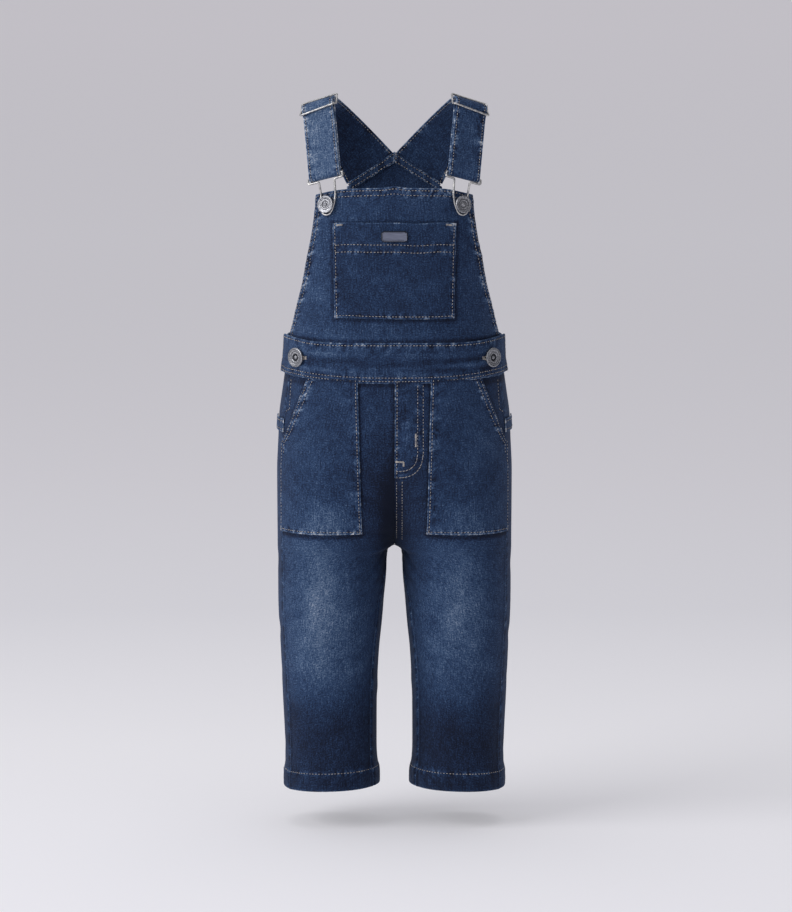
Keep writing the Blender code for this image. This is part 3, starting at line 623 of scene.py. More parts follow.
def trace(cad_nodes, spots, step=0.8):
    """A line drawn on the front of some pieces through x and z in mm, laid onto the cloth
    that is foremost there."""
    for cad_node in cad_nodes.split():
        if cad_node not in skins:
            mesh = cloth[cad_node][0].data
            skins[cad_node] = BVHTree.FromPolygons([v.co for v in mesh.vertices],
                                                   [p.vertices for p in mesh.polygons])
    spots = np.array(spots, float)
    run = np.concatenate([[0], np.cumsum(np.linalg.norm(np.diff(spots, axis=0), axis=1))])
    fine = np.arange(0, run[-1] + step / 2, step)
    points, normals = [], []
    for x, z in zip(np.interp(fine, run, spots[:, 0]), np.interp(fine, run, spots[:, 1])):
        hits = [skins[name].ray_cast(Vector((x * MM, -0.3, z * MM)), Vector((0, 1, 0)))
                for name in cad_nodes.split()]
        hits = [h for h in hits if h[0] is not None]
        if hits:
            hit, normal, _, _ = min(hits, key=lambda h: h[3])
            points.append(np.array(hit) / MM)
            normals.append(np.array(normal) * (-1 if normal.y > 0 else 1))
    return np.array(points), np.array(normals)


print("ready to sew with", thread.name)

# %% [markdown]
# ## Legs
# Each leg is a front and a back, joined down the side and the inside of the leg, and the two
# legs meet in the centre seam and the saddle below it. They could be one tube with painted
# seams, but then the seams would cast no shadow. Each panel's edge sinks a little at the
# seam and the cloth beside it stands up, where the seam allowances lie underneath.


# %% Heights and seams of the leg panels
def leg_heights():
    rise = np.concatenate([[-238.6, -239.8, -241.0], np.linspace(-242.4, -380.0, 90)])
    saddle = np.linspace(-381.2, -404.0, 26)
    leg = np.linspace(-405.6, -600.0, 118)
    hem = np.concatenate([np.linspace(-601.2, -615.4, 11), [-616.2, -616.8, -617.25, -617.5]])
    return np.concatenate([rise, saddle, leg, hem])


def inner_turn(z):
    """The front panel's inner edge: the centre seam, and below it the inside leg seam."""
    innermost = on_oval(z, math.pi + 0 * z)[..., 0]
    seam = innermost + table(INSEAM_IN, z)[..., 0]
    return turn_at(z, np.where(innermost < 0.1, 0.1, seam))


def side_turn(z):
    return turn_at(z, section(z)["outer"] - SIDE_SEAM_IN)


def leg_grid(back, shares):
    rows = leg_heights()
    cuff = np.clip((HEM_START - rows) / (HEM_START - HEM), 0, 1)[:, None]
    if back:
        open_leg = on_oval(rows, math.pi + 0 * rows)[..., 0] >= 0.1
        end = np.where(open_leg, inner_turn(rows) - 2 * math.pi, -turn_at(rows, 0.1 + 0 * rows))
        turn = girth_turns(rows, side_turn(rows), end, shares)
        z = rows[:, None] + HEM_TILT * cuff * shares
    else:
        turn = girth_turns(rows, inner_turn(rows), side_turn(rows), shares)
        z = rows[:, None] + HEM_TILT * cuff * (1 - shares)
    return on_oval(z, turn), facing(z, turn)


print("leg panels:", len(leg_heights()), "rows")

# %% Front legs: faded thighs, seams, hem and soft folds
# Creases are shares across (0 at the inner seam) and down, then width and height in mm.
FRONT_CREASES = (
    # across, down, to across, down, width, height, light
    (0.02, 0.300, 0.46, 0.250, 4.5, -0.8, -0.030),
    (0.03, 0.330, 0.50, 0.300, 4.0, 0.8, 0.030),
    (0.03, 0.375, 0.42, 0.365, 5.0, -0.9, -0.040),
    (0.06, 0.415, 0.55, 0.450, 6.0, 0.9, 0.030),
    (0.02, 0.445, 0.36, 0.520, 5.5, -0.9, -0.030),
    (0.55, 0.500, 0.98, 0.455, 7.0, -0.7, -0.020),
    (0.10, 0.620, 0.60, 0.655, 6.0, -0.7, -0.025),
    (0.45, 0.690, 0.97, 0.655, 6.5, 0.8, 0.025),
    (0.05, 0.730, 0.50, 0.760, 6.0, 0.7, 0.020),
    (0.50, 0.790, 0.96, 0.760, 5.0, -0.8, -0.025),
    (0.12, 0.850, 0.62, 0.880, 6.0, -0.8, -0.025),
    (0.62, 0.890, 0.98, 0.915, 5.0, 0.7, 0.020),
)
# Faded thighs: centre x, centre z and strength of each pale patch. The wearer's right one is stronger and
# further out, which is painted light from the upper left of the view.
THIGH_FADE_AND_HIGHLIGHT = {1: (57.0, -456.0, 0.165), -1: (66.0, -450.0, 0.20)}

for side, word in ((1, "left"), (-1, "right")):
    points, normals = leg_grid(False, spaced(108.0, 1.5))
    # The wearer's right leg, on the left of the view, starts paler: painted light from the lamp at that side.
    panel = Panel("cloth_front_leg_" + word, points, normals, CLOTH, side,
                  fade=0.235 if side < 0 else 0.215, hold=True)
    x, z = points[..., 0], points[..., 2]
    low = soft_step((-z - 505) / 60)
    panel.fade -= 0.105 * low
    pale_x, pale_z, strength = THIGH_FADE_AND_HIGHLIGHT[side]
    blob = np.exp(-abs((x - pale_x) / 30) ** 2.2 - abs((z - pale_z) / 62) ** 2.4)
    panel.fade += strength * blob * (1 + 0.25 * lumps(x / 6, z / 30, 40 + side))
    panel.fade += 0.08 * np.exp(-((x - pale_x) / 34) ** 2) * soft_step((-z - 375) / 20) * (1 - low)
    # Painted shade: the inner thigh near the crotch is darker, far more on the wearer's right leg, which turns
    # away from the light, and so is a strip beside the centre seam.
    inner = np.exp(-((z + 362) / 56) ** 2) * np.exp(-panel.gap("start") / 22)
    panel.fade -= (0.17 if side > 0 else 0.30) * inner
    in_shade = soft_step((-z - 300) / 60) * soft_step((z + 440) / 40)
    panel.fade -= (0.06 if side > 0 else 0.26) * np.exp(-((x - 4) / 8) ** 2) * in_shade
    # Painted shadow along the patch pocket's inner edge and bottom, its slanted opening, and the fly's edge.
    patch_x = side * np.array((32.3, 31.4, 29.6, 62.0, 101.0))
    panel.paint_shadow_line(patch_x, (-243.0, -300.0, -381.0, -382.5, -382.0))
    panel.paint_shadow_line(side * np.array((77.5, 98.6, 103.0)), (-243.0, -298.0, -306.0))
    panel.paint_shadow_line((-0.8, -0.8), (-243.0, -330.0), width=2.0, amount=0.14)
    for a, b, c, d, width, rise, light in FRONT_CREASES:
        shift = 0.0 if side > 0 else 0.014
        panel.crease((a, b + shift), (c, d - shift), width, rise, light)
    leg_share = (CROTCH + 241) / (HEM + 241)
    panel.roll("bottom", radius=0.9)
    for edge, part in (("end", (0, 1)), ("start", (leg_share, 1))):
        gap = panel.gap(edge)
        hold = panel.within(edge, part)
        panel.relief += (0.55 * np.exp(-((gap - 2.2) / 1.8) ** 2)) * hold
        panel.pucker(edge, 2.0, depth=0.22, reach=2.6, pitch=5.0, rub=0.07, seed=1, between=part)
        panel.fade += (0.18 * np.exp(-((gap - 1.1) / 0.9) ** 2)
                       - 0.07 * np.exp(-((gap - 3.8) / 1.3) ** 2)) * hold
        panel.rub(edge, 1.1, 0.16, seed=5, between=part)
    for edge in ("start", "end"):
        below = panel.within(edge, (0, 1) if edge == "end" else (leg_share, 1))
        panel.relief -= 0.9 * np.exp(-(panel.gap(edge) / 0.7) ** 2) * below
        panel.wear -= 0.12 * np.exp(-(panel.gap(edge) / 0.5) ** 2)
    panel.band("bottom", 15.2, 0.55)
    panel.pucker("bottom", 16.2, depth=0.42, reach=3.6, pitch=4.6, rub=0.30, seed=9)
    panel.pucker("bottom", 7.0, depth=0.40, reach=6.0, pitch=5.4, rub=0.09, seed=11)
    panel.rub("bottom", 1.0, 0.40, seed=13)
    panel.fade += 0.15 * np.exp(-((panel.gap("bottom") - 16.4) / 1.2) ** 2)
    panel.fold -= 0.7 * soft_step((z + 242.5) / 2)
    # Painted shadow: a dark line on the leg just below the waistband.
    panel.fade -= 0.18 * np.exp(-((z + 244.5) / 2.2) ** 2)
    sew(panel, "front_leg_" + word)

# %% Back legs, with deeper folds under the seat and behind the knee
BACK_CREASES = (
    (0.20, 0.355, 0.97, 0.390, 7.0, -1.6, -0.030),
    (0.30, 0.400, 0.98, 0.430, 6.0, 1.3, 0.030),
    (0.10, 0.440, 0.80, 0.480, 7.0, -1.3, -0.030),
    (0.45, 0.150, 0.98, 0.230, 9.0, 1.0, 0.030),
    (0.05, 0.600, 0.75, 0.625, 6.5, -1.3, -0.035),
    (0.20, 0.650, 0.95, 0.640, 6.0, 1.2, 0.030),
    (0.10, 0.700, 0.85, 0.690, 6.0, -1.2, -0.030),
    (0.30, 0.800, 0.95, 0.830, 7.0, 0.9, 0.020),
    (0.08, 0.870, 0.60, 0.850, 6.0, -0.9, -0.020),
)
for side, word in ((1, "left"), (-1, "right")):
    points, normals = leg_grid(True, spaced(150.0, 2.1))
    panel = Panel("cloth_back_leg_" + word, points, normals, CLOTH, side, fade=0.22, hold=True)
    x, z = points[..., 0], points[..., 2]
    panel.fade += 0.17 * np.exp(-((x - 48) / 34) ** 2 - ((z + 300) / 44) ** 2)
    panel.fade -= 0.06 * soft_step((-z - 520) / 60)
    for a, b, c, d, width, rise, light in BACK_CREASES:
        shift = 0.0 if side > 0 else 0.016
        panel.crease((a, b - shift), (c, d + shift), width, rise, light)
    panel.roll("bottom", radius=0.9)
    panel.relief += 0.5 * np.exp(-((panel.gap("end") - 3.0) / 2.2) ** 2)
    for edge, inset in (("start", 2.0), ("end", 2.2)):
        panel.pucker(edge, inset, depth=0.35, reach=3.0, pitch=5.2, rub=0.22, seed=1)
        panel.rub(edge, 1.1, 0.22, seed=5)
        panel.relief -= 1.0 * np.exp(-(panel.gap(edge) / 0.8) ** 2)
    panel.band("bottom", 15.2, 0.55)
    panel.pucker("bottom", 16.2, depth=0.42, reach=3.6, pitch=4.6, rub=0.30, seed=9)
    panel.pucker("bottom", 7.0, depth=0.40, reach=6.0, pitch=5.4, rub=0.09, seed=11)
    panel.rub("bottom", 1.0, 0.40, seed=13)
    panel.fade += 0.15 * np.exp(-((panel.gap("bottom") - 16.4) / 1.2) ** 2)
    panel.fold -= 0.7 * soft_step((z + 242.5) / 2)
    # Painted shadow: a dark line on the leg just below the waistband.
    panel.fade -= 0.18 * np.exp(-((z + 244.5) / 2.2) ** 2)
    sew(panel, "back_leg_" + word)

# %% [markdown]
# ## Waistband
# The front band is two layers with a stiffener. It dips a little at the middle, and its two
# ends lap over the back band, where a tack button closes each side. The pull of the buttons
# and of the bib above leaves long soft creases across it.

# %% Front and back waistbands
BAND_CREASES = (
    (0.08, 0.44, 0.42, 0.50, 2.2, -0.80, -0.085),
    (0.06, 0.24, 0.38, 0.32, 2.8, 0.80, 0.070),
    (0.05, 0.66, 0.36, 0.72, 2.2, 0.70, 0.070),
    (0.10, 0.58, 0.30, 0.60, 1.8, -0.55, -0.050),
    (0.28, 0.74, 0.60, 0.66, 2.6, 0.55, 0.045),
    (0.36, 0.60, 0.66, 0.56, 2.4, -0.60, -0.050),
    (0.40, 0.30, 0.75, 0.36, 2.6, 0.50, 0.040),
    (0.55, 0.48, 0.92, 0.44, 2.2, -0.80, -0.080),
    (0.58, 0.72, 0.94, 0.70, 2.2, -0.75, -0.075),
    (0.62, 0.60, 0.96, 0.58, 2.4, 0.75, 0.065),
    (0.66, 0.22, 0.95, 0.26, 2.6, 0.50, 0.035),
    (0.35, 0.84, 0.70, 0.82, 2.2, 0.40, 0.030),
)
# The band's top and bottom edges dip at the middle and rise toward the sides.
BAND_EDGES = (
    # x      top      bottom
    (0.0,   -206.6, -243.2),
    (30.0,  -206.8, -242.9),
    (57.0,  -207.2, -242.0),
    (75.0,  -206.4, -240.4),
    (86.0,  -205.2, -239.3),
    (94.0,  -204.6, -239.0),
    (98.5,  -205.8, -238.0),
)
shares_down = spaced(34.0, 1.25)
shares = spaced(262.0, 1.9)
end = math.radians(8)
z_rows = BAND_TOP + shares_down * (BAND_BOTTOM - BAND_TOP)
turn = girth_turns(z_rows, math.pi - end + 0 * z_rows, end + 0 * z_rows, shares)
x = abs(on_oval(z_rows[:, None] + 0 * turn, turn)[..., 0])
top = table(BAND_EDGES, x)[..., 0]
bottom = table(BAND_EDGES, x)[..., 1]
z = top + shares_down[:, None] * (bottom - top)
BAND_CLOTH = 2.4
over = -CLOTH + (CLOTH + 0.3 + LAY) * soft_step((x - 58.0) / 16.0)
normals = facing(z, turn)
points = on_oval(z, turn) + normals * (over + BAND_CLOTH)[..., None]
band = Panel("cloth_waistband_front", points, normals, BAND_CLOTH, fade=0.255)
for a, b, c, d, width, rise, light in BAND_CREASES:
    band.crease((a, b), (c, d), width, 1.25 * rise, 1.5 * light)
band.roll("top", "bottom", "start", "end", radius=1.3)
band.pucker("top", 2.4, depth=0.36, reach=2.8, pitch=4.2, rub=0.30, seed=1)
band.pucker("bottom", 2.2, depth=0.26, reach=2.2, pitch=3.8, rub=0.20, seed=2)
band.pucker("bottom", 5.4, depth=0.30, reach=2.6, pitch=4.4, rub=0.22, seed=3)
band.pucker("top", 8.0, depth=0.16, reach=6.0, pitch=9.0, rub=0.10, seed=8)
band.pucker("bottom", 12.0, depth=0.16, reach=6.0, pitch=10.0, rub=0.09, seed=9)
# Painted light: the band is paler on the wearer's right, the side toward the lamp.
band.fade += 0.05 * np.exp(-((points[..., 0] + 62) / 26) ** 2)
for edge in ("start", "end"):
    band.pucker(edge, 2.4, depth=0.30, reach=2.6, pitch=4.0, rub=0.28, seed=4)
    band.rub(edge, 1.2, 0.55, seed=5)
band.rub("top", 0.9, 0.30, seed=6)
band.rub("bottom", 0.9, 0.34, seed=7)
corner = np.exp(-(np.minimum(band.gap("start"), band.gap("end")) / 7) ** 2)
band.fold += 1.3 * corner * np.exp(-(band.gap("bottom") / 9) ** 2)
sew(band, "waistband_front")

UNDERLAP_X, BACK_BAND_CLOTH = 78.0, 2.1
under = turn_at(z_rows, UNDERLAP_X + 0 * z_rows)
shares = spaced(300.0, 2.4)
turn = girth_turns(z_rows, under, -math.pi - under, shares)
z = z_rows[:, None] + 0 * turn
normals = facing(z, turn)
points = on_oval(z, turn) + normals * 0.3
band = Panel("cloth_waistband_back", points, normals, BACK_BAND_CLOTH, fade=0.25)
for k, (a, b, c, d, width, rise, light) in enumerate(BAND_CREASES):
    band.crease((0.1 + 0.8 * c, d), (0.1 + 0.8 * a, b), width, 0.9 * rise, light)
band.roll("top", "bottom", "start", "end", radius=1.2)
for edge in ("top", "bottom"):
    band.pucker(edge, 2.4, depth=0.34, reach=2.8, pitch=4.4, rub=0.28, seed=11)
    band.rub(edge, 0.9, 0.32, seed=12)
sew(band, "waistband_back")

# %% [markdown]
# ## Bib and its pocket
# The bib is a single layer with a double-stitched hem all round, and the hems ripple most
# where the bib is cut on the slant, at its sides. The pocket is a flat patch with a deep
# hem at the top, and it stands slightly off the bib so that its edge throws a line of shade,
# which a painted shadow on the bib along that edge makes darker.

# %% Bib
BIB_TOP, BIB_CROWN = -70.2, 7.6
BIB_EDGE = ((-70.0, 68.2), (-82.0, 69.6), (-114.0, 73.8), (-136.0, 78.2), (-157.0, 82.0),
            (-179.0, 87.4), (-207.3, 93.6))
shares_down, shares = spaced(137.0, 1.3), spaced(176.0, 1.35)
lean = 2 * shares[None, :] - 1 + 0 * shares_down[:, None]
half = table(BIB_EDGE, BIB_TOP + shares_down * (BAND_TOP - BIB_TOP))[..., 0]
crown = BIB_TOP - BIB_CROWN * abs(lean) ** 4 + 1.5 * np.exp(-(lean / 0.11) ** 2)
crown += 0.45 * lumps(4.5 * lean, 0 * lean, 91) * (1 - abs(lean) ** 8)
z = crown + shares_down[:, None] * (BAND_TOP - 1.6 - crown)
turn = turn_at(z, lean * table(BIB_EDGE, z)[..., 0])
points, normals = on_oval(z, turn), facing(z, turn)
bib = Panel("cloth_bib", points, normals, CLOTH, fade=0.265)
for a, b, c, d, width, rise, light in (
        (0.05, 0.80, 0.40, 0.93, 5.0, -0.8, -0.030), (0.62, 0.95, 0.96, 0.82, 5.0, -0.8, -0.030),
        (0.10, 0.90, 0.50, 0.985, 4.0, 0.7, 0.030), (0.50, 0.97, 0.90, 0.92, 4.0, 0.6, 0.025),
        (0.03, 0.30, 0.16, 0.62, 6.0, 0.7, 0.030), (0.84, 0.60, 0.97, 0.30, 6.0, 0.7, 0.025),
        (0.12, 0.14, 0.45, 0.17, 5.0, -0.5, -0.020), (0.55, 0.16, 0.88, 0.13, 5.0, -0.5, -0.020)):
    bib.crease((a, b), (c, d), width, rise, light)
bib.roll("top", "start", "end", radius=1.0)
bib.band("top", 7.6, 0.55)
bib.pucker("top", 2.2, depth=0.40, reach=2.4, pitch=5.0, rub=0.30, seed=1)
bib.pucker("top", 6.6, depth=0.34, reach=2.4, pitch=4.6, rub=0.24, seed=2)
bib.rub("top", 0.9, 0.45, seed=3)
for edge in ("start", "end"):
    bib.band(edge, 6.6, 0.55)
    bib.pucker(edge, 2.0, depth=0.55, reach=2.8, pitch=4.0, rub=0.36, seed=4)
    bib.pucker(edge, 5.8, depth=0.60, reach=3.0, pitch=4.2, rub=0.38, seed=5)
    bib.rub(edge, 0.9, 0.40, seed=6)
# Painted light: the bib is paler on the wearer's right, the side toward the lamp.
bib.fade += 0.05 * np.exp(-((points[..., 0] + 55) / 30) ** 2)
# Painted shadow on the bib along the pocket's sides, bottom and top.
bib.paint_shadow_line((-55.4, -54.0, 54.0, 55.4), (-101.5, -187.2, -187.2, -101.5), width=1.7, amount=0.17)
bib.paint_shadow_line((-55.4, 0.0, 55.4), (-101.2, -99.4, -101.2), width=1.3, amount=0.10)
bib.fold -= 0.7 * soft_step((-z - 207.2) / 1.2)
# Painted shadow: a dark line on the bib just above the waistband.
bib.fade -= 0.18 * np.exp(-((z + 205.6) / 1.7) ** 2)
sew(bib, "bib")

# %% Bib pocket
POCKET_TOP, POCKET_BOTTOM = -100.8, -185.4
shares_down, shares = spaced(85.0, 1.2), spaced(112.0, 1.2)
lean = 2 * shares[None, :] - 1 + 0 * shares_down[:, None]
down = shares_down[:, None] + 0 * lean
half = 53.8 - 1.4 * down
z = POCKET_TOP + (POCKET_BOTTOM - POCKET_TOP) * down - 1.2 * lean ** 4 * (1 - down)
z += 0.8 * lumps(2.6 * lean, 2 * down, 92) * (1 - abs(lean) ** 8) * (2 * down - 1) ** 2
turn = turn_at(z, lean * half)
normals = facing(z, turn)
points = on_oval(z, turn) + normals * (LAY + CLOTH)
pocket = Panel("cloth_bib_pocket", points, normals, CLOTH, fade=0.225)
for a, b, c, d, width, rise, light in (
        (0.10, 0.52, 0.45, 0.60, 6.0, 0.5, 0.025), (0.55, 0.72, 0.92, 0.62, 6.0, 0.5, 0.02),
        (0.08, 0.85, 0.60, 0.88, 5.0, -0.4, -0.02), (0.30, 0.42, 0.85, 0.46, 6.0, -0.4, -0.02)):
    pocket.crease((a, b), (c, d), width, rise, light)
pocket.roll("top", "bottom", "start", "end", radius=1.0)
pocket.band("top", 26.8, 0.5)
pocket.pucker("top", 19.6, depth=0.26, reach=2.4, pitch=4.6, rub=0.16, seed=1)
pocket.pucker("top", 26.0, depth=0.34, reach=2.6, pitch=4.6, rub=0.24, seed=2)
pocket.rub("top", 1.0, 0.34, seed=3)
for edge, amount in (("start", 0.42), ("end", 0.38), ("bottom", 0.36)):
    pocket.pucker(edge, 2.2, depth=0.34, reach=2.4, pitch=4.4, rub=0.28, seed=4)
    pocket.rub(edge, 0.9, amount, seed=5)
for edge in ("start", "end"):
    pocket.wear += 0.22 * np.exp(-((pocket.gap(edge) - 2) / 3) ** 2 - ((pocket.gap("top") - 3) / 4) ** 2)
sew(pocket, "bib_pocket")

# %% [markdown]
# ## Patch pockets, fly and side loops
# The front pockets are big patches whose slanted openings have a wide, much washed hem. The
# fly is a strip on the wearer's left. Its one edge is a real edge, and at its curved side
# it is sewn into the panel, so there the strip sinks until it disappears in the leg's cloth.

# %% Patch pockets
PATCH_INNER = ((-379.0, 29.6), (-241.0, 32.1))
SLANT = ((-312.0, 110.0), (-298.0, 97.6), (-241.0, 76.5))
shares_down, shares = spaced(137.0, 1.35), spaced(84.0, 1.3)
share, down = np.meshgrid(shares, shares_down)
bottom = ((1 - share) * (1 - 2 * share) * -378.6 + 4 * share * (1 - share) * -379.6
          + share * (2 * share - 1) * -380.0)
top = -239.6
z = top + down * (bottom - top)
z_rows = z[:, len(shares) // 2]
x_out = np.minimum(section(z_rows)["outer"] - SIDE_SEAM_IN - 0.3, np.interp(z_rows, *zip(*SLANT)))
turn = girth_turns(z_rows, turn_at(z_rows, np.interp(z_rows, *zip(*PATCH_INNER))),
                   turn_at(z_rows, x_out), shares)
normals = facing(z, turn)
slant_end = (312.0 - 241.0) / 137.0
for side, word in ((1, "left"), (-1, "right")):
    points = on_oval(z, turn) + normals * (LAY + CLOTH)
    patch = Panel("cloth_patch_pocket_" + word, points, normals, CLOTH, side, fade=0.255)
    x = points[..., 0]
    # The lower part is faded like the thigh under it; its extra paleness on the wearer's right is painted
    # light from that side.
    patch.fade += (0.17 if side < 0 else 0.12) * np.exp(-((x - 64) / 30) ** 2) * soft_step((-z - 335) / 38)
    patch.fade += 0.05 * np.exp(-((x - 75) / 22) ** 2 - ((z + 290) / 40) ** 2)
    for a, b, c, d, width, rise, light in (
            (0.05, 0.16, 0.55, 0.10, 6.0, 0.7, 0.025), (0.10, 0.30, 0.60, 0.38, 7.0, -0.7, -0.03),
            (0.30, 0.55, 0.90, 0.48, 7.0, 0.7, 0.03), (0.08, 0.66, 0.50, 0.74, 6.0, -0.6, -0.02),
            (0.45, 0.80, 0.92, 0.74, 6.0, 0.6, 0.02)):
        patch.crease((a, b), (c, d + 0.02 * side), width, rise, light)
    patch.roll("bottom", "start", "end", radius=1.0)
    opening = (0, slant_end)
    patch.band("end", 8.6, 0.6, between=opening)
    patch.pucker("end", 2.4, depth=0.50, reach=2.8, pitch=4.0, rub=0.34, seed=1, between=opening)
    patch.pucker("end", 7.2, depth=0.58, reach=3.2, pitch=4.2, rub=0.36, seed=2, between=opening)
    patch.rub("end", 0.8, 0.46, seed=3, between=opening)
    patch.pucker("end", 2.2, depth=0.30, reach=2.4, pitch=5.0, rub=0.20, seed=4, between=(slant_end, 1))
    patch.rub("end", 0.8, 0.34, seed=5, between=(slant_end, 1))
    patch.pucker("start", 2.2, depth=0.42, reach=2.6, pitch=4.6, rub=0.22, seed=6)
    patch.pucker("start", 6.0, depth=0.30, reach=5.0, pitch=6.4, rub=0.17, seed=16)
    # Painted shadow: darker along the top, under the waistband's edge.
    patch.fade -= 0.16 * np.exp(-(patch.gap("top") / 2.4) ** 2)
    patch.rub("start", 0.7, 0.48, seed=7)
    patch.pucker("bottom", 2.4, depth=0.38, reach=2.8, pitch=4.4, rub=0.30, seed=8)
    patch.rub("bottom", 0.9, 0.50, seed=9)
    patch.fold -= 0.9 * soft_step((z + 241.5) / 1.6)
    sew(patch, "patch_pocket_" + word)

# %% Fly
FLY_TOP, FLY_BOTTOM, FLY_WIDTH = -240.0, -328.0, 26.5
shares_down, shares = spaced(88.0, 1.2), spaced(26.0, 1.0)
share, down = np.meshgrid(shares, shares_down)
bend = np.clip((down - 0.70) / 0.30, 0, 1)
wide = 1.2 + (FLY_WIDTH - 1.2) * np.sqrt(1 - 0.97 * bend ** 2)
z = FLY_TOP + down * (FLY_BOTTOM - FLY_TOP)
turn = turn_at(z, 0.4 + share * wide)
normals = facing(z, turn)
points = on_oval(z, turn) + normals * 1.35
fly = Panel("cloth_fly", points, normals, 1.25, fade=0.215)
sink = np.maximum(soft_step((share - 0.74) / 0.26), soft_step((down - 0.90) / 0.10) * soft_step(share * 4))
fly.fold -= 1.5 * sink + 0.6 * soft_step((z + 242.0) / 1.6)
fly.roll("start", radius=0.9)
fly.pucker("start", 2.0, depth=0.36, reach=2.4, pitch=4.6, rub=0.26, seed=1)
fly.pucker("end", 1.4, depth=0.34, reach=2.6, pitch=5.0, rub=0.18, seed=2)
fly.pucker("end", 6.2, depth=0.40, reach=2.6, pitch=5.0, rub=0.20, seed=3)
fly.pucker("start", 9.0, depth=0.28, reach=6.5, pitch=7.0, rub=0.14, seed=5)
# Painted shadow: darker along the top, under the waistband's edge.
fly.fade -= 0.16 * np.exp(-(fly.gap("top") / 2.4) ** 2)
fly.rub("start", 0.8, 0.5, seed=4)
fly.crease((0.5, 0.02), (0.45, 0.75), 4.0, 0.5, 0.05)
sew(fly, "fly")

# %% Side loops
shares_down, shares = spaced(12.0, 1.0), spaced(26.0, 1.2)
z_rows = -279.4 - 12.0 * shares_down
start = turn_at(z_rows, section(z_rows)["outer"] - 6.0)
turn = girth_turns(z_rows, start, math.radians(-3) + 0 * z_rows, shares)
z = z_rows[:, None] + 0 * turn
normals = facing(z, turn)
points = on_oval(z, turn) + normals * (LAY + 1.1)
for side, word in ((1, "left"), (-1, "right")):
    loop = Panel("cloth_side_loop_" + word, points, normals, 1.1, side, fade=0.30)
    loop.roll("top", "bottom", "start", "end", radius=0.9)
    for edge in ("top", "bottom"):
        loop.pucker(edge, 2.4, depth=0.3, reach=1.8, pitch=3.6, rub=0.35, seed=1)
        loop.rub(edge, 0.8, 0.5, seed=2)
    loop.rub("start", 0.9, 0.5, seed=3)
    sew(loop, "side_loop_" + word)

# %% [markdown]
# ## Back panel, facings and straps
# The back rises to a point, where both straps are sewn on, and two strips inside cover that
# seam. Each strap is a turned tube pressed flat, sewn near both edges. It runs from its sewn
# end on the slide's bar, down behind, round the clip, up the front, over the slide and the
# shoulder, and widens down to the point of the back. One grid follows that whole path.

# %% Back panel and its facings
JOIN_TOP, JOIN_SLOPE = -54.5, 26.2 / 43.2
BACK_EDGE = ((-50.0, 43.2), (-81.0, 43.2), (-92.0, 44.6), (-108.0, 48.6), (-128.0, 56.0),
             (-152.0, 67.0), (-176.0, 79.0), (-195.0, 88.5), (-207.3, 94.0))
shares_down, shares = spaced(150.0, 2.0), spaced(150.0, 1.9)
lean = 2 * shares[None, :] - 1 + 0 * shares_down[:, None]
top = JOIN_TOP - JOIN_SLOPE * abs(lean * 43.2) + 0.8
z = top + shares_down[:, None] * (BAND_TOP - 1.6 - top)
turn = -turn_at(z, lean * table(BACK_EDGE, z)[..., 0])
back = Panel("cloth_back_panel", on_oval(z, turn), facing(z, turn), CLOTH, fade=0.23)
for a, b, c, d, width, rise, light in (
        (0.20, 0.10, 0.75, 0.16, 6.0, 1.0, 0.03), (0.30, 0.22, 0.85, 0.28, 7.0, -1.0, -0.03),
        (0.10, 0.55, 0.45, 0.75, 8.0, 1.0, 0.03), (0.55, 0.80, 0.92, 0.60, 8.0, 0.9, 0.02),
        (0.20, 0.90, 0.80, 0.93, 6.0, -0.8, -0.03)):
    back.crease((a, b), (c, d), width, rise, light)
back.roll("start", "end", radius=1.0)
for edge in ("start", "end"):
    back.band(edge, 6.6, 0.5)
    back.pucker(edge, 2.0, depth=0.48, reach=2.6, pitch=4.0, rub=0.40, seed=1)
    back.pucker(edge, 5.8, depth=0.48, reach=2.8, pitch=4.4, rub=0.40, seed=2)
    back.rub(edge, 0.9, 0.40, seed=3)
back.pucker("top", 2.4, depth=0.36, reach=2.6, pitch=4.6, rub=0.30, seed=4)
back.fold -= 0.6 * soft_step((-z + BAND_TOP - 0.4) / 1.2)
sew(back, "back_panel")

across, down = np.meshgrid(spaced(51.0, 1.3), spaced(8.8, 1.0, rim=(0.25, 0.6, 1.1)))
x = 0.02 + across * 42.1
z = JOIN_TOP - JOIN_SLOPE * x + 0.6 + (1 - 2 * down) * 4.4 + 1.5 * np.exp(-(x / 9) ** 2) * (1 - down)
turn = -turn_at(z, x)
normals = -facing(z, turn)
points = on_oval(z, turn) + normals * (STRAP_CLOTH + LAY + CLOTH)
for side, word in ((1, "left"), (-1, "right")):
    facing_strip = Panel("cloth_back_facing_" + word, points, normals, CLOTH, side, fade=0.25)
    facing_strip.roll("top", "bottom", "end", radius=0.9)
    for edge in ("top", "bottom"):
        facing_strip.pucker(edge, 1.8, depth=0.32, reach=1.8, pitch=4.2, rub=0.32, seed=1)
        facing_strip.rub(edge, 0.8, 0.34, seed=2)
    facing_strip.pucker("start", 1.6, depth=0.3, reach=1.6, pitch=3.0, rub=0.4, seed=3)
    sew(facing_strip, "back_facing_" + word)

# %% The path of a strap
WIRE = 0.95                                        # radius of the fittings' wire
STRAP_HALF = 14.5
CREST, CREST_ACROSS = np.array((66.5, 0.0, 0.9)), (-0.949, 0.0, 0.316)
CLIP_BAR = np.array((61.3, -57.5, -60.5))
BACK_INNER, BACK_OUTER = np.array((0.05, 67.5, -50.6)), np.array((43.2, 60.4, -77.0))
LOOP_RADIUS = WIRE + 0.35 + STRAP_CLOTH / 2
SLIDER_RUN = 71.0


def unit(vector):
    vector = np.asarray(vector, float)
    return vector / np.linalg.norm(vector)


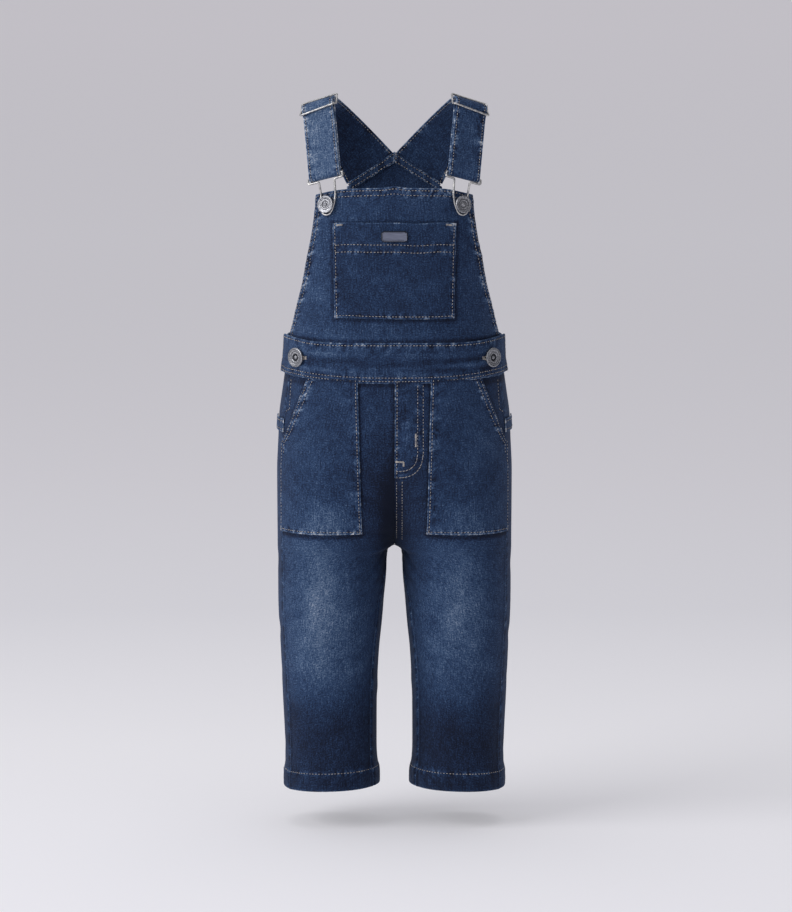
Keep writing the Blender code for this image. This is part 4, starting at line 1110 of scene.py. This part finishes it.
RISE = unit((0.086, 0.571, 0.816))
ACROSS = unit(np.asarray((-0.944, -0.230, 0.257)) - RISE * np.dot((-0.944, -0.230, 0.257), RISE))
FACE = np.cross(ACROSS, RISE)
FACE = FACE if FACE[1] < 0 else -FACE


def front_place(run, out):
    """A point of the strap's front: run up from the clip's bar, and out from its middle."""
    return CLIP_BAR + RISE * run + FACE * out


def bend_round(run, out, start, end, steps):
    return [front_place(run + LOOP_RADIUS * math.sin(a), out + LOOP_RADIUS * math.cos(a))
            for a in np.radians(np.linspace(start, end, steps))]


def strap_sides():
    """The strap's outer and inner edge lines, from its sewn end to the point of the back."""
    middle = bend_round(SLIDER_RUN, -0.4, 40, 180, 8)
    middle += [front_place(run, -LOOP_RADIUS) for run in (60.0, 48.0, 36.0, 24.0, 12.0, 5.0)]
    middle += bend_round(0.0, 0.0, 180, 360, 10)
    middle += [front_place(run, LOOP_RADIUS) for run in (6.0, 14.0, 28.0, 42.0, 54.0)]
    middle += [front_place(61.0, LOOP_RADIUS + 0.3), front_place(66.0, LOOP_RADIUS + 1.5)]
    sides = [(m - ACROSS * STRAP_HALF, m + ACROSS * STRAP_HALF) for m in middle]
    crest_across = unit(CREST_ACROSS)
    for m, mix in ((front_place(SLIDER_RUN + 1.2, 3.95), 0.25), (np.array((67.0, -11.0, 2.7)), 0.6),
                   (np.array((66.7, -5.0, 1.3)), 0.85)):
        across = unit(ACROSS * (1 - mix) + crest_across * mix)
        sides.append((m - across * STRAP_HALF, m + across * STRAP_HALF))
    outer_top, inner_top = CREST - crest_across * STRAP_HALF, CREST + crest_across * STRAP_HALF
    for turn in np.radians(np.linspace(0, 90, 13)):
        swing = np.array([1 - math.cos(turn), math.sin(turn), 1 - math.cos(turn)])
        sides.append((outer_top + (BACK_OUTER - outer_top) * swing,
                      inner_top + (BACK_INNER - inner_top) * swing))
    return np.array(sides)


def smooth_path(knots, step):
    """Points every step mm along a smooth curve through knots (its first axis)."""
    middle = knots.mean(1)
    run = np.concatenate([[0], np.cumsum(np.linalg.norm(np.diff(middle, axis=0), axis=1))])
    slope = np.gradient(knots, run, axis=0)
    fine = spaced(run[-1], step, rim=(0.3, 0.8)) * run[-1]
    i = np.clip(np.searchsorted(run, fine) - 1, 0, len(run) - 2)
    span = (run[i + 1] - run[i])[:, None, None]
    t = ((fine - run[i]) / (run[i + 1] - run[i]))[:, None, None]
    return ((1 + 2 * t) * (1 - t) ** 2 * knots[i] + t * (1 - t) ** 2 * span * slope[i]
            + t * t * (3 - 2 * t) * knots[i + 1] + t * t * (t - 1) * span * slope[i + 1]), fine


sides, run = smooth_path(strap_sides(), 1.5)
print("strap path:", round(run[-1], 1), "mm long,", len(run), "rows")

# %% Straps
shares = spaced(2 * STRAP_HALF, 1.3, rim=(0.2, 0.5, 0.95, 1.5))
middle = sides[:, :1] * (1 - shares)[None, :, None] + sides[:, 1:] * shares[None, :, None]
on_back = on_oval(middle[..., 2], -turn_at(middle[..., 2], np.maximum(middle[..., 0], 0)))[..., 1]
settle = soft_step((run - (run[-1] - 62.0)) / 46.0)[:, None]
middle[..., 1] += settle * (on_back - STRAP_CLOTH / 2 - middle[..., 1])
wobble = lumps(run[:, None] / 19 + 0 * shares, 3 * shares + 0 * run[:, None], 77)
normals = np.cross(np.gradient(middle, axis=1), np.gradient(middle, axis=0))
normals /= np.linalg.norm(normals, axis=-1, keepdims=True)
for side, word in ((1, "left"), (-1, "right")):
    points = middle + normals * (STRAP_CLOTH / 2)
    # The wearer's right strap, on the left of the view, is paler: painted light from the lamp at that side.
    strap = Panel("cloth_strap_" + word, points, normals, STRAP_CLOTH, side,
                  fade=0.47 if side < 0 else 0.31, hold=True)
    strap.fold += 0.22 * wobble * soft_step((run[:, None] - 190) / 20)
    strap.roll("start", "end", "top", radius=0.9)
    for edge, amount in (("start", 0.30), ("end", 0.34)):
        strap.pucker(edge, 2.2, depth=0.42, reach=2.4, pitch=4.6, rub=0.34, seed=1)
        strap.rub(edge, 0.9, amount, seed=2)
    strap.pucker("start", 4.6, depth=0.45, reach=5.0, pitch=9.0, rub=0.20, seed=5, between=(0.30, 0.66))
    # Painted shade: past the shoulder the strap runs down behind and is darker, far more on the wearer's
    # right, and a painted shadow darkens one side of it just past the shoulder.
    strap.fade -= (0.07 if side > 0 else 0.26) * soft_step((run[:, None] - 200) / 25)
    painted_strap_shadow = soft_step((run[:, None] - 205) / 12) * soft_step((300 - run[:, None]) / 70)
    strap.fade -= (0.04 if side > 0 else 0.12) * painted_strap_shadow * shares[::-1]
    sew(strap, "strap_" + word)

# %% [markdown]
# ## Stitches
# Every seam of the garment is sewn here in one go, now that all the cloth has its shape.
# Rows along an edge come straight from the panel's grid. The fly's curve, its bar tacks and
# the buttonholes are drawn as lines in the front view and laid onto the cloth.

# %% Rows of topstitching
def rows_of(cad_node, *wanted):
    """Lines along a piece's edges: (edge, inset) or (edge, inset, between)."""
    panel = cloth[cad_node][1]
    return [panel.line(edge, inset, *rest) for edge, inset, *rest in wanted]


stitch_mesh("threads_bib", rows_of(
    "bib", ("top", 2.2, (0.03, 0.97)), ("top", 6.6, (0.05, 0.95)),
    ("start", 2.0, (0.03, 1)), ("start", 5.8, (0.06, 1)),
    ("end", 2.0, (0.03, 1)), ("end", 5.8, (0.06, 1))), seed=2)
stitch_mesh("threads_bib_pocket", rows_of(
    "bib_pocket", ("top", 19.6, (0.03, 0.97)), ("top", 26.0, (0.03, 0.97)), ("start", 2.2), ("end", 2.2),
    ("bottom", 2.2, (0.03, 0.97))), seed=3)
stitch_mesh("threads_waistband", rows_of(
    "waistband_front", ("top", 2.4), ("bottom", 2.2), ("bottom", 5.4), ("start", 2.4), ("end", 2.4))
    + rows_of("waistband_back", ("top", 2.4), ("bottom", 2.4)), seed=4)
lines = []
for word in ("left", "right"):
    lines += rows_of("patch_pocket_" + word, ("start", 2.2), ("bottom", 2.4, (0.02, 0.98)),
                     ("end", 2.4, (0, 0.52)), ("end", 7.2, (0, 0.50)), ("end", 2.2, (0.52, 1)))
stitch_mesh("threads_patch_pockets", lines, seed=5)
lines = []
for word in ("left", "right"):
    lines += rows_of("front_leg_" + word, ("bottom", 16.2))
    lines += rows_of("back_leg_" + word, ("bottom", 16.2), ("end", 2.2, (0, 0.47)))
    lines += rows_of("side_loop_" + word, ("top", 2.4), ("bottom", 2.4))
lines += rows_of("back_leg_left", ("end", 6.2, (0, 0.47)))
stitch_mesh("threads_legs", lines, seed=6)
lines = []
for word in ("left", "right"):
    lines += rows_of("strap_" + word, ("start", 2.2), ("end", 2.2), ("start", 2.2, (0, 1), True),
                     ("end", 2.2, (0, 1), True))
    lines += rows_of("back_facing_" + word, ("top", 1.8), ("bottom", 1.8))
lines += rows_of("back_facing_left", ("start", 1.6))
lines += rows_of("back_panel", ("start", 2.0), ("start", 5.8), ("end", 2.0), ("end", 5.8),
                 ("top", 2.4), ("top", 6.0))
stitch_mesh("threads_straps_and_back", lines, seed=7)

# %% Fly curve, centre seam, side openings
curve = [(20.6, -244.0), (20.6, -306.0), (19.4, -313.5), (15.6, -318.6), (9.6, -321.4), (0.8, -322.2)]
wide_curve = [(25.4, -244.0), (25.6, -306.0), (24.0, -316.0), (19.0, -323.4), (11.0, -327.2), (0.8, -328.2)]


def rounded_line(corners):
    """The same line with its corners cut twice, which rounds them."""
    line = np.array(corners, float)
    for _ in range(2):
        cut = [line[0]]
        for a, b in zip(line, line[1:]):
            cut += [a * 0.75 + b * 0.25, a * 0.25 + b * 0.75]
        line = np.array(cut + [line[-1]])
    return line


lines = rows_of("fly", ("start", 2.0, (0.02, 1)))
lines += [trace("fly front_leg_left", rounded_line(corners[:2])) for corners in (curve, wide_curve)]
lines += [trace("front_leg_left", [(x0, -331.0), (x0, -388.0)]) for x0 in (2.0, 6.9)]
for sign, word in ((1, "left"), (-1, "right")):
    lines.append(trace("front_leg_" + word,
                       [(sign * 92.0, -243.0), (sign * 93.5, -270.0), (sign * 97.0, -273.0)]))
stitch_mesh("threads_fly", lines, seed=8)
lines = [trace("fly front_leg_left", rounded_line(corners[1:])) for corners in (curve, wide_curve)]
stitch_mesh("threads_fly_curve", lines, length=2.8, radius=0.24, seed=12, dimples=False)

# %% Bar tacks and buttonholes: stitches laid side by side
bars = [trace("fly front_leg_left", [(19.0, -287.5), (19.0, -299.5)]),
        trace("fly front_leg_left", [(1.0, -313.2), (8.2, -313.2)]),
        trace("fly front_leg_left", [(8.2, -313.2), (8.2, -317.5)])]
for sign in (1, -1):
    bars.append(trace("bib_pocket", [(sign * 51.2, -103.4), (sign * 45.5, -102.6)]))
    bars.append(trace("waistband_front", [(sign * 78.6, -220.6), (sign * 78.6, -224.2)]))
stitch_mesh("threads_bar_tacks", bars, pitch=0.62, length=1.9, radius=0.34,
            turn=math.pi / 2, seed=9, dimples=False)
holes = []
for sign in (1, -1):
    for shift in (1.0, -1.0):
        holes.append(trace("waistband_front", [(sign * 89.0, -222.4 + shift * 1.7),
                                               (sign * 81.5, -222.4 + shift * 1.5), (sign * 78.6, -222.4)]))
stitch_mesh("threads_buttonholes", holes, pitch=0.62, length=2.0, radius=0.36,
            turn=math.pi / 2, seed=10, dimples=False)

# %% [markdown]
# ## Metal fittings
# The clips and slides are bent from nickel-plated steel wire. A curve with a round bevel is
# the natural way to make wire. The tack buttons are pressed discs, so they are turned from a
# profile, with a ring of fine ribs pressed round the face. They carry no lettering.

# %% Metal materials
nickel, tree, shader = new_material("nickel_plated_steel_wire", Metallic=1.0)
place = node(tree, "ShaderNodeTexCoord").outputs["Object"]
# Plating on drawn wire keeps faint tarnish in patches of about 2 mm.
tarnish = node(tree, "ShaderNodeTexNoise", {"Vector": place, "Scale": 480.0, "Detail": 3.0}).outputs["Fac"]
tones = node(tree, "ShaderNodeValToRGB", {"Fac": tarnish})
tones.color_ramp.elements[0].position, tones.color_ramp.elements[0].color = 0.3, linear("#8f8f93")
tones.color_ramp.elements[1].position, tones.color_ramp.elements[1].color = 0.65, linear("#d2d0cc")
tree.links.new(tones.outputs["Color"], shader.inputs["Base Color"])
rough = node(tree, "ShaderNodeMapRange", {"Value": tarnish, "To Min": 0.20, "To Max": 0.36})
tree.links.new(rough.outputs[0], shader.inputs["Roughness"])

button_metal, tree, shader = new_material("aged_nickel_on_zinc_alloy", Metallic=1.0)
place = node(tree, "ShaderNodeTexCoord").outputs["Object"]
# Washing wears the plating in specks of about 0.8 mm, and dirt stays in the low places.
specks = node(tree, "ShaderNodeTexNoise", {"Vector": place, "Scale": 1200.0, "Detail": 3.0}).outputs["Fac"]
tones = node(tree, "ShaderNodeValToRGB", {"Fac": specks})
tones.color_ramp.elements[0].position, tones.color_ramp.elements[0].color = 0.34, linear("#505259")
tones.color_ramp.elements[1].position, tones.color_ramp.elements[1].color = 0.62, linear("#b0b1b5")
tree.links.new(tones.outputs["Color"], shader.inputs["Base Color"])
rough = node(tree, "ShaderNodeMapRange", {"Value": specks, "To Min": 0.44, "To Max": 0.28})
tree.links.new(rough.outputs[0], shader.inputs["Roughness"])
bump = node(tree, "ShaderNodeBump", {"Strength": 0.35, "Distance": 0.1 * MM, "Height": specks})
tree.links.new(bump.outputs["Normal"], shader.inputs["Normal"])

badge_metal, tree, shader = new_material("brushed_pewter_zinc_alloy", Metallic=0.85, Roughness=0.46)
place = node(tree, "ShaderNodeTexCoord").outputs["Object"]
# Brushing along the plate leaves lines 0.2 mm apart and several mm long.
brushed = node(tree, "ShaderNodeMapping", {"Vector": place, "Scale": (120, 1, 3200)}).outputs[0]
lines_made = node(tree, "ShaderNodeTexNoise", {"Vector": brushed, "Scale": 1.0, "Detail": 2.0}).outputs["Fac"]
tones = node(tree, "ShaderNodeValToRGB", {"Fac": lines_made})
tones.color_ramp.elements[0].position, tones.color_ramp.elements[0].color = 0.3, linear("#666b7c")
tones.color_ramp.elements[1].position, tones.color_ramp.elements[1].color = 0.7, linear("#8c91a4")
tree.links.new(tones.outputs["Color"], shader.inputs["Base Color"])
bump = node(tree, "ShaderNodeBump", {"Strength": 0.3, "Distance": 0.05 * MM, "Height": lines_made})
tree.links.new(bump.outputs["Normal"], shader.inputs["Normal"])

groove_dirt, tree, shader = new_material("tarnish_in_the_grooves", Metallic=0.7, Roughness=0.55)
shader.inputs["Base Color"].default_value = linear("#23252c")
print("metals:", nickel.name, button_metal.name, badge_metal.name, groove_dirt.name)


# %% Wire: slides and clips
def rounded(corners, radius):
    """A closed path through corners with each one rounded by an arc."""
    corners = [np.asarray(c, float) for c in corners]
    path = []
    for i, corner in enumerate(corners):
        to_last = unit(corners[i - 1] - corner)
        to_next = unit(corners[(i + 1) % len(corners)] - corner)
        a, b = corner + to_last * radius, corner + to_next * radius
        path += [(1 - t) ** 2 * a + 2 * t * (1 - t) * corner + t * t * b for t in np.linspace(0, 1, 9)]
    return path


def wire(name, cad_node, path, closed, side):
    curve = bpy.data.curves.new(name, "CURVE")
    curve.dimensions = "3D"
    curve.bevel_depth = WIRE * MM
    curve.bevel_resolution = 6
    curve.use_fill_caps = True
    spline = curve.splines.new("POLY")
    spline.points.add(len(path) - 1)
    for knot, point in zip(spline.points, path):
        knot.co = (*(point * np.array([side, 1, 1]) * MM), 1)
    spline.use_cyclic_u = closed
    curve.materials.append(nickel)
    piece = bpy.data.objects.new(name, curve)
    bpy.context.scene.collection.objects.link(piece)
    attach(piece, "root")
    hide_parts(cad_node)
    return piece


BIB_BUTTON, WAIST_BUTTON = (58.8, -86.0, 8.0), (83.1, -222.4, 8.7)
slide_side = STRAP_HALF + 0.8 + WIRE
front_outer = front_place(64.0, LOOP_RADIUS + 0.9 + STRAP_CLOTH / 2 + 0.3 + WIRE)
front_inner = front_place(67.4, LOOP_RADIUS + 1.6 + STRAP_CLOTH / 2 + 0.3 + WIRE)
bar = front_place(SLIDER_RUN, -0.4)
rear = np.array((66.6, -5.6, 1.9 + STRAP_CLOTH / 2 + 0.3 + WIRE))
rear_across = unit(ACROSS * 0.2 + unit(CREST_ACROSS) * 0.8)
slide_corners = [front_outer - ACROSS * slide_side,
                 bar - ACROSS * slide_side, rear - rear_across * slide_side,
                 rear + rear_across * slide_side, bar + ACROSS * slide_side, front_inner + ACROSS * slide_side]
half_bar = slide_side - WIRE - 0.3
seat_turn = turn_at(np.array(BIB_BUTTON[1]), np.array(BIB_BUTTON[0]))
seat_out = facing(np.array(BIB_BUTTON[1]), seat_turn)
seat = on_oval(np.array(BIB_BUTTON[1]), seat_turn)
up = unit(np.array((0, 0, 1.0)) - seat_out * seat_out[2])
inward = np.cross(up, seat_out)
inward = inward if inward[0] < 0 else -inward


def on_bib(across, high):
    return seat + inward * across + up * high + seat_out * (LAY + WIRE + 0.2)


def by_bar(across, below):
    return front_place(-below, 0) + ACROSS * across


shoulder = LOOP_RADIUS + STRAP_CLOTH / 2 + 0.3 + WIRE + 0.2
bar_half = STRAP_HALF + 0.6 + WIRE
clip_corners = [by_bar(-bar_half, 0), by_bar(-bar_half, shoulder), by_bar(-6.2, shoulder + 0.3),
                on_bib(-6.8, 9.0), on_bib(-6.4, 2.0)]
clip_corners += [on_bib(5.7 * math.sin(a), -3.6 - 5.7 * math.cos(a))
                 for a in np.radians((-80, -40, 0, 40, 80))]
clip_corners += [on_bib(7.4, 2.0), on_bib(8.0, 9.0), by_bar(8.4, shoulder + 0.5),
                 by_bar(bar_half, shoulder), by_bar(bar_half, 0)]
for side, word in ((1, "left"), (-1, "right")):
    wire("wire_slider_" + word, "slider_" + word, rounded(slide_corners, 1.9), True, side)
    wire("wire_slider_bar_" + word, "slider_bar_" + word,
         [bar - ACROSS * half_bar, bar + ACROSS * half_bar], False, side)
    wire("wire_bib_clip_" + word, "bib_clip_" + word, rounded(clip_corners, 1.2), True, side)
print("wire fittings: 2 slides, 2 bars, 2 clips")


# %% Tack buttons
def tack_button(name, cad_node, spot, out, radius, stem, side, domed):
    """A pressed disc turned from a profile: share of the radius, and height in mm."""
    centre = ((0.0, 2.25), (0.10, 2.2), (0.17, 2.0), (0.20, 1.6)) if domed else (
        (0.0, 1.75), (0.10, 1.7), (0.15, 1.45), (0.18, 1.0))
    profile = [*centre, (0.23, 1.0), (0.33, 0.95), (0.38, 1.25), (0.42, 1.62), (0.47, 1.78), (0.53, 1.72),
               (0.57, 1.62), (0.62, 1.66), (0.68, 1.74), (0.74, 1.80), (0.79, 1.84), (0.83, 2.02),
               (0.88, 2.08), (0.93, 2.0), (0.97, 1.75), (1.0, 1.3), (1.0, 0.9), (0.97, 0.5), (0.90, 0.1),
               (0.80, 0.0), (0.36, 0.0), (0.35, -stem * 0.5), (0.35, -stem), (0.0, -stem)]
    around = 96
    spots, faces = [], []
    axis = unit(out)
    aside = unit(np.cross((0, 0, 1.0), axis))
    above = np.cross(axis, aside)
    for share, high in profile:
        for k in range(around):
            angle = 2 * math.pi * k / around
            rib = 0.07 * math.cos(angle * 32) if 0.60 < share < 0.77 else 0.0
            spots.append(spot + axis * (stem + high + rib)
                         + (aside * math.cos(angle) + above * math.sin(angle)) * share * radius)
    for ring in range(len(profile) - 1):
        for k in range(around):
            after = (k + 1) % around
            a, b = ring * around, (ring + 1) * around
            faces.append((a + k, b + k, b + after, a + after))
    mesh_spots = (np.array(spots) * np.array([side, 1, 1]) * MM).tolist()
    if side < 0:
        faces = [face[::-1] for face in faces]
    piece = mesh_object(name, mesh_spots, faces, button_metal, "button_metal", cad_node)
    piece.data.materials.append(groove_dirt)
    sunk = [share in ((0.33, 0.57) if domed else (0.18, 0.23, 0.33, 0.57, 0.79)) for share, _ in profile[:-1]]
    piece.data.polygons.foreach_set("material_index", np.repeat(np.array(sunk, np.int32), around))
    return piece


for side, word in ((1, "left"), (-1, "right")):
    tack_button("bib_tack_button_" + word, "bib_button_" + word,
                seat + seat_out * LAY, seat_out, BIB_BUTTON[2], 2.9, side, True)
    z0, x0 = np.array(WAIST_BUTTON[1]), np.array(WAIST_BUTTON[0])
    out = facing(z0, turn_at(z0, x0))
    spot = on_oval(z0, turn_at(z0, x0)) + out * (0.3 + LAY + 2.4 + LAY)
    lean = unit(out - np.array((0, 0.25, 0)))
    tack_button("waist_tack_button_" + word, "waist_button_" + word,
                spot, lean, WAIST_BUTTON[2], 1.5, side, False)
print("4 tack buttons")

# %% [markdown]
# ## Badge
# A small cast plate sits on the pocket's hem. It is left plain: a rounded plate with a raised
# rim and a slightly sunk, brushed field. An outline offset inward a few times makes all of it.

# %% Badge plate
LENGTH, HEIGHT, BADGE_Z = 23.6, 9.6, -112.7
AROUND = 64                                       # points round the plate's outline
seat_y = on_oval(np.array(BADGE_Z - HEIGHT / 2), np.array(math.pi / 2))[1] - LAY - CLOTH - 0.3
spots, faces = [], []
steps = ((0.0, 0.0), (0.0, 1.05), (0.12, 1.35), (0.40, 1.55), (0.75, 1.6),
         (1.15, 1.5), (1.45, 1.22), (1.8, 1.15), (3.4, 1.2))
for inset, out in steps:
    for k in range(AROUND):
        angle = 2 * math.pi * (k + 0.5) / AROUND
        c, s = math.cos(angle), math.sin(angle)
        wide, tall, corner = LENGTH / 2 - inset, HEIGHT / 2 - inset, max(0.6, 2.8 - inset)
        reach = max(abs(c) / wide, abs(s) / tall)
        x0, z0 = c / reach, s / reach
        over_x, over_z = max(0, abs(x0) - (wide - corner)), max(0, abs(z0) - (tall - corner))
        far = math.hypot(over_x, over_z)
        if far > corner:
            x0 -= math.copysign(over_x * (1 - corner / far), x0)
            z0 -= math.copysign(over_z * (1 - corner / far), z0)
        spots.append((x0 * MM, (seat_y - out) * MM, (BADGE_Z + z0) * MM))
for ring in range(len(steps) - 1):
    for k in range(AROUND):
        after = (k + 1) % AROUND
        a, b = ring * AROUND, (ring + 1) * AROUND
        faces.append((a + k, a + after, b + after, b + k))
faces.append(tuple(range(AROUND - 1, -1, -1)))
faces.append(tuple((len(steps) - 1) * AROUND + k for k in range(AROUND)))
badge = mesh_object("plain_badge_plate", spots, faces, badge_metal, "badge_metal", "bib_badge")
badge.data.materials.append(groove_dirt)
sunk = np.zeros(len(badge.data.polygons), np.int32)
sunk[:4 * AROUND] = 1
sunk[5 * AROUND:6 * AROUND] = 1
badge.data.polygons.foreach_set("material_index", sunk)
print("badge:", LENGTH, "x", HEIGHT, "mm")

# %% [markdown]
# ## Cloth facts
# The flat size of each piece's cut, its width, length and area, is measured along the body
# before any crease was added.

for cad_node, (piece, panel) in cloth.items():
    wide, long, area = panel.flat_size()
    long = max(long, 0.0101)        # the facing strips are cut 10 mm wide and turned under
print(len(cloth), "sheets declared")

# %% [markdown]
# ## Floor, light and camera
# The garment hangs about 3 cm above a wide pale floor that glows a little itself, which keeps
# the shadow on it soft. One large soft light from the upper left of the view shapes the
# cloth, with a soft one above and a very weak one at the right, and the surroundings are
# brighter on the left than on the right. The camera stands 5 m away with a long lens,
# a little above the garment and tilted down.

# %% Floor
floor_mesh = bpy.data.meshes.new("floor")
FLOOR_Z = -0.651
floor_mesh.from_pydata([(-30, -8, FLOOR_Z), (30, -8, FLOOR_Z), (30, 50, FLOOR_Z), (-30, 50, FLOOR_Z)],
                       [], [(0, 1, 2, 3)])
floor = bpy.data.objects.new("floor", floor_mesh)
bpy.context.scene.collection.objects.link(floor)
paper, tree, shader = new_material("matt_pale_paper_floor", Roughness=0.9, Specular_IOR_Level=0.15)
place = node(tree, "ShaderNodeTexCoord").outputs["Object"]
axes = node(tree, "ShaderNodeSeparateXYZ", {0: place})
# Painted light and shade on the floor: its colour changes with distance along Y, darkest a little over a metre
# behind the garment.
depth = node(tree, "ShaderNodeMapRange", {
    "Value": axes.outputs["Y"], "From Min": -0.5, "From Max": 14.0, "To Min": 0.0, "To Max": 1.0})
shades = node(tree, "ShaderNodeValToRGB", {"Fac": depth.outputs[0]})
stops = shades.color_ramp
stops.elements[0].position, stops.elements[0].color = 0.0, linear("#cecdd1")
stops.elements[1].position, stops.elements[1].color = 1.0, linear("#ccc9cd")
for place_at, shade in ((0.06, "#cbcacd"), (0.12, "#c0bfc3"), (0.20, "#c2c0c4"), (0.45, "#c9c7cb")):
    stop = stops.elements.new(place_at)
    stop.color = linear(shade)
tree.links.new(shades.outputs["Color"], shader.inputs["Base Color"])
tree.links.new(shades.outputs["Color"], shader.inputs["Emission Color"])
shader.inputs["Emission Strength"].default_value = 0.46
floor_mesh.materials.append(paper)
floor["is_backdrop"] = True
print("floor at", FLOOR_Z, "m")

# %% Lights and world
def soft_light(name, place, aim, size, power, colour):
    data = bpy.data.lights.new(name, "AREA")
    data.shape, data.size, data.energy, data.color = "SQUARE", size, power, linear(colour)[:3]
    light = bpy.data.objects.new(name, data)
    light.location = place
    light.rotation_mode = "QUATERNION"
    light.rotation_quaternion = (Vector(aim) - Vector(place)).to_track_quat("-Z", "Y")
    bpy.context.scene.collection.objects.link(light)
    return light


soft_light("key_upper_left", (-3.1, -1.8, 1.7), (0, 0, -0.30), 3.0, 96, "#ffffff")
soft_light("fill_right", (2.6, -2.4, 0.4), (0, 0, -0.35), 1.8, 2, "#eef2ff")
soft_light("top_soft", (0.0, 0.4, 2.6), (0, 0, -0.4), 2.4, 18, "#ffffff")
world = bpy.data.worlds.new("studio")
bpy.context.scene.world = world
world.use_nodes = True
sky = world.node_tree
background = sky.nodes["Background"]
background.inputs["Color"].default_value = linear("#c9c9cf")
sky_axes = node(sky, "ShaderNodeSeparateXYZ", {0: node(sky, "ShaderNodeTexCoord").outputs["Generated"]})
strength = node(sky, "ShaderNodeMapRange", {
    "Value": sky_axes.outputs["X"], "From Min": -1.0, "From Max": 1.0, "To Min": 1.02, "To Max": 0.40})
sky.links.new(strength.outputs[0], background.inputs["Strength"])

# %% Camera
lens = bpy.data.cameras.new("view")
lens.lens, lens.sensor_width = 219.3, 36.0
lens.clip_start, lens.clip_end = 0.1, 120.0
camera = bpy.data.objects.new("view", lens)
tilt, away = math.radians(7.3), 5.0
camera.location = (0.0014, -away * math.cos(tilt), -0.3175 + away * math.sin(tilt))
camera.rotation_euler = (math.pi / 2 - tilt, 0.0, 0.0)
bpy.context.scene.collection.objects.link(camera)
bpy.context.scene.camera = camera
bpy.context.scene.view_settings.view_transform = "Standard"
print("camera:", [round(v, 3) for v in camera.location])

# %% Sizes, and finish
low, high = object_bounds()
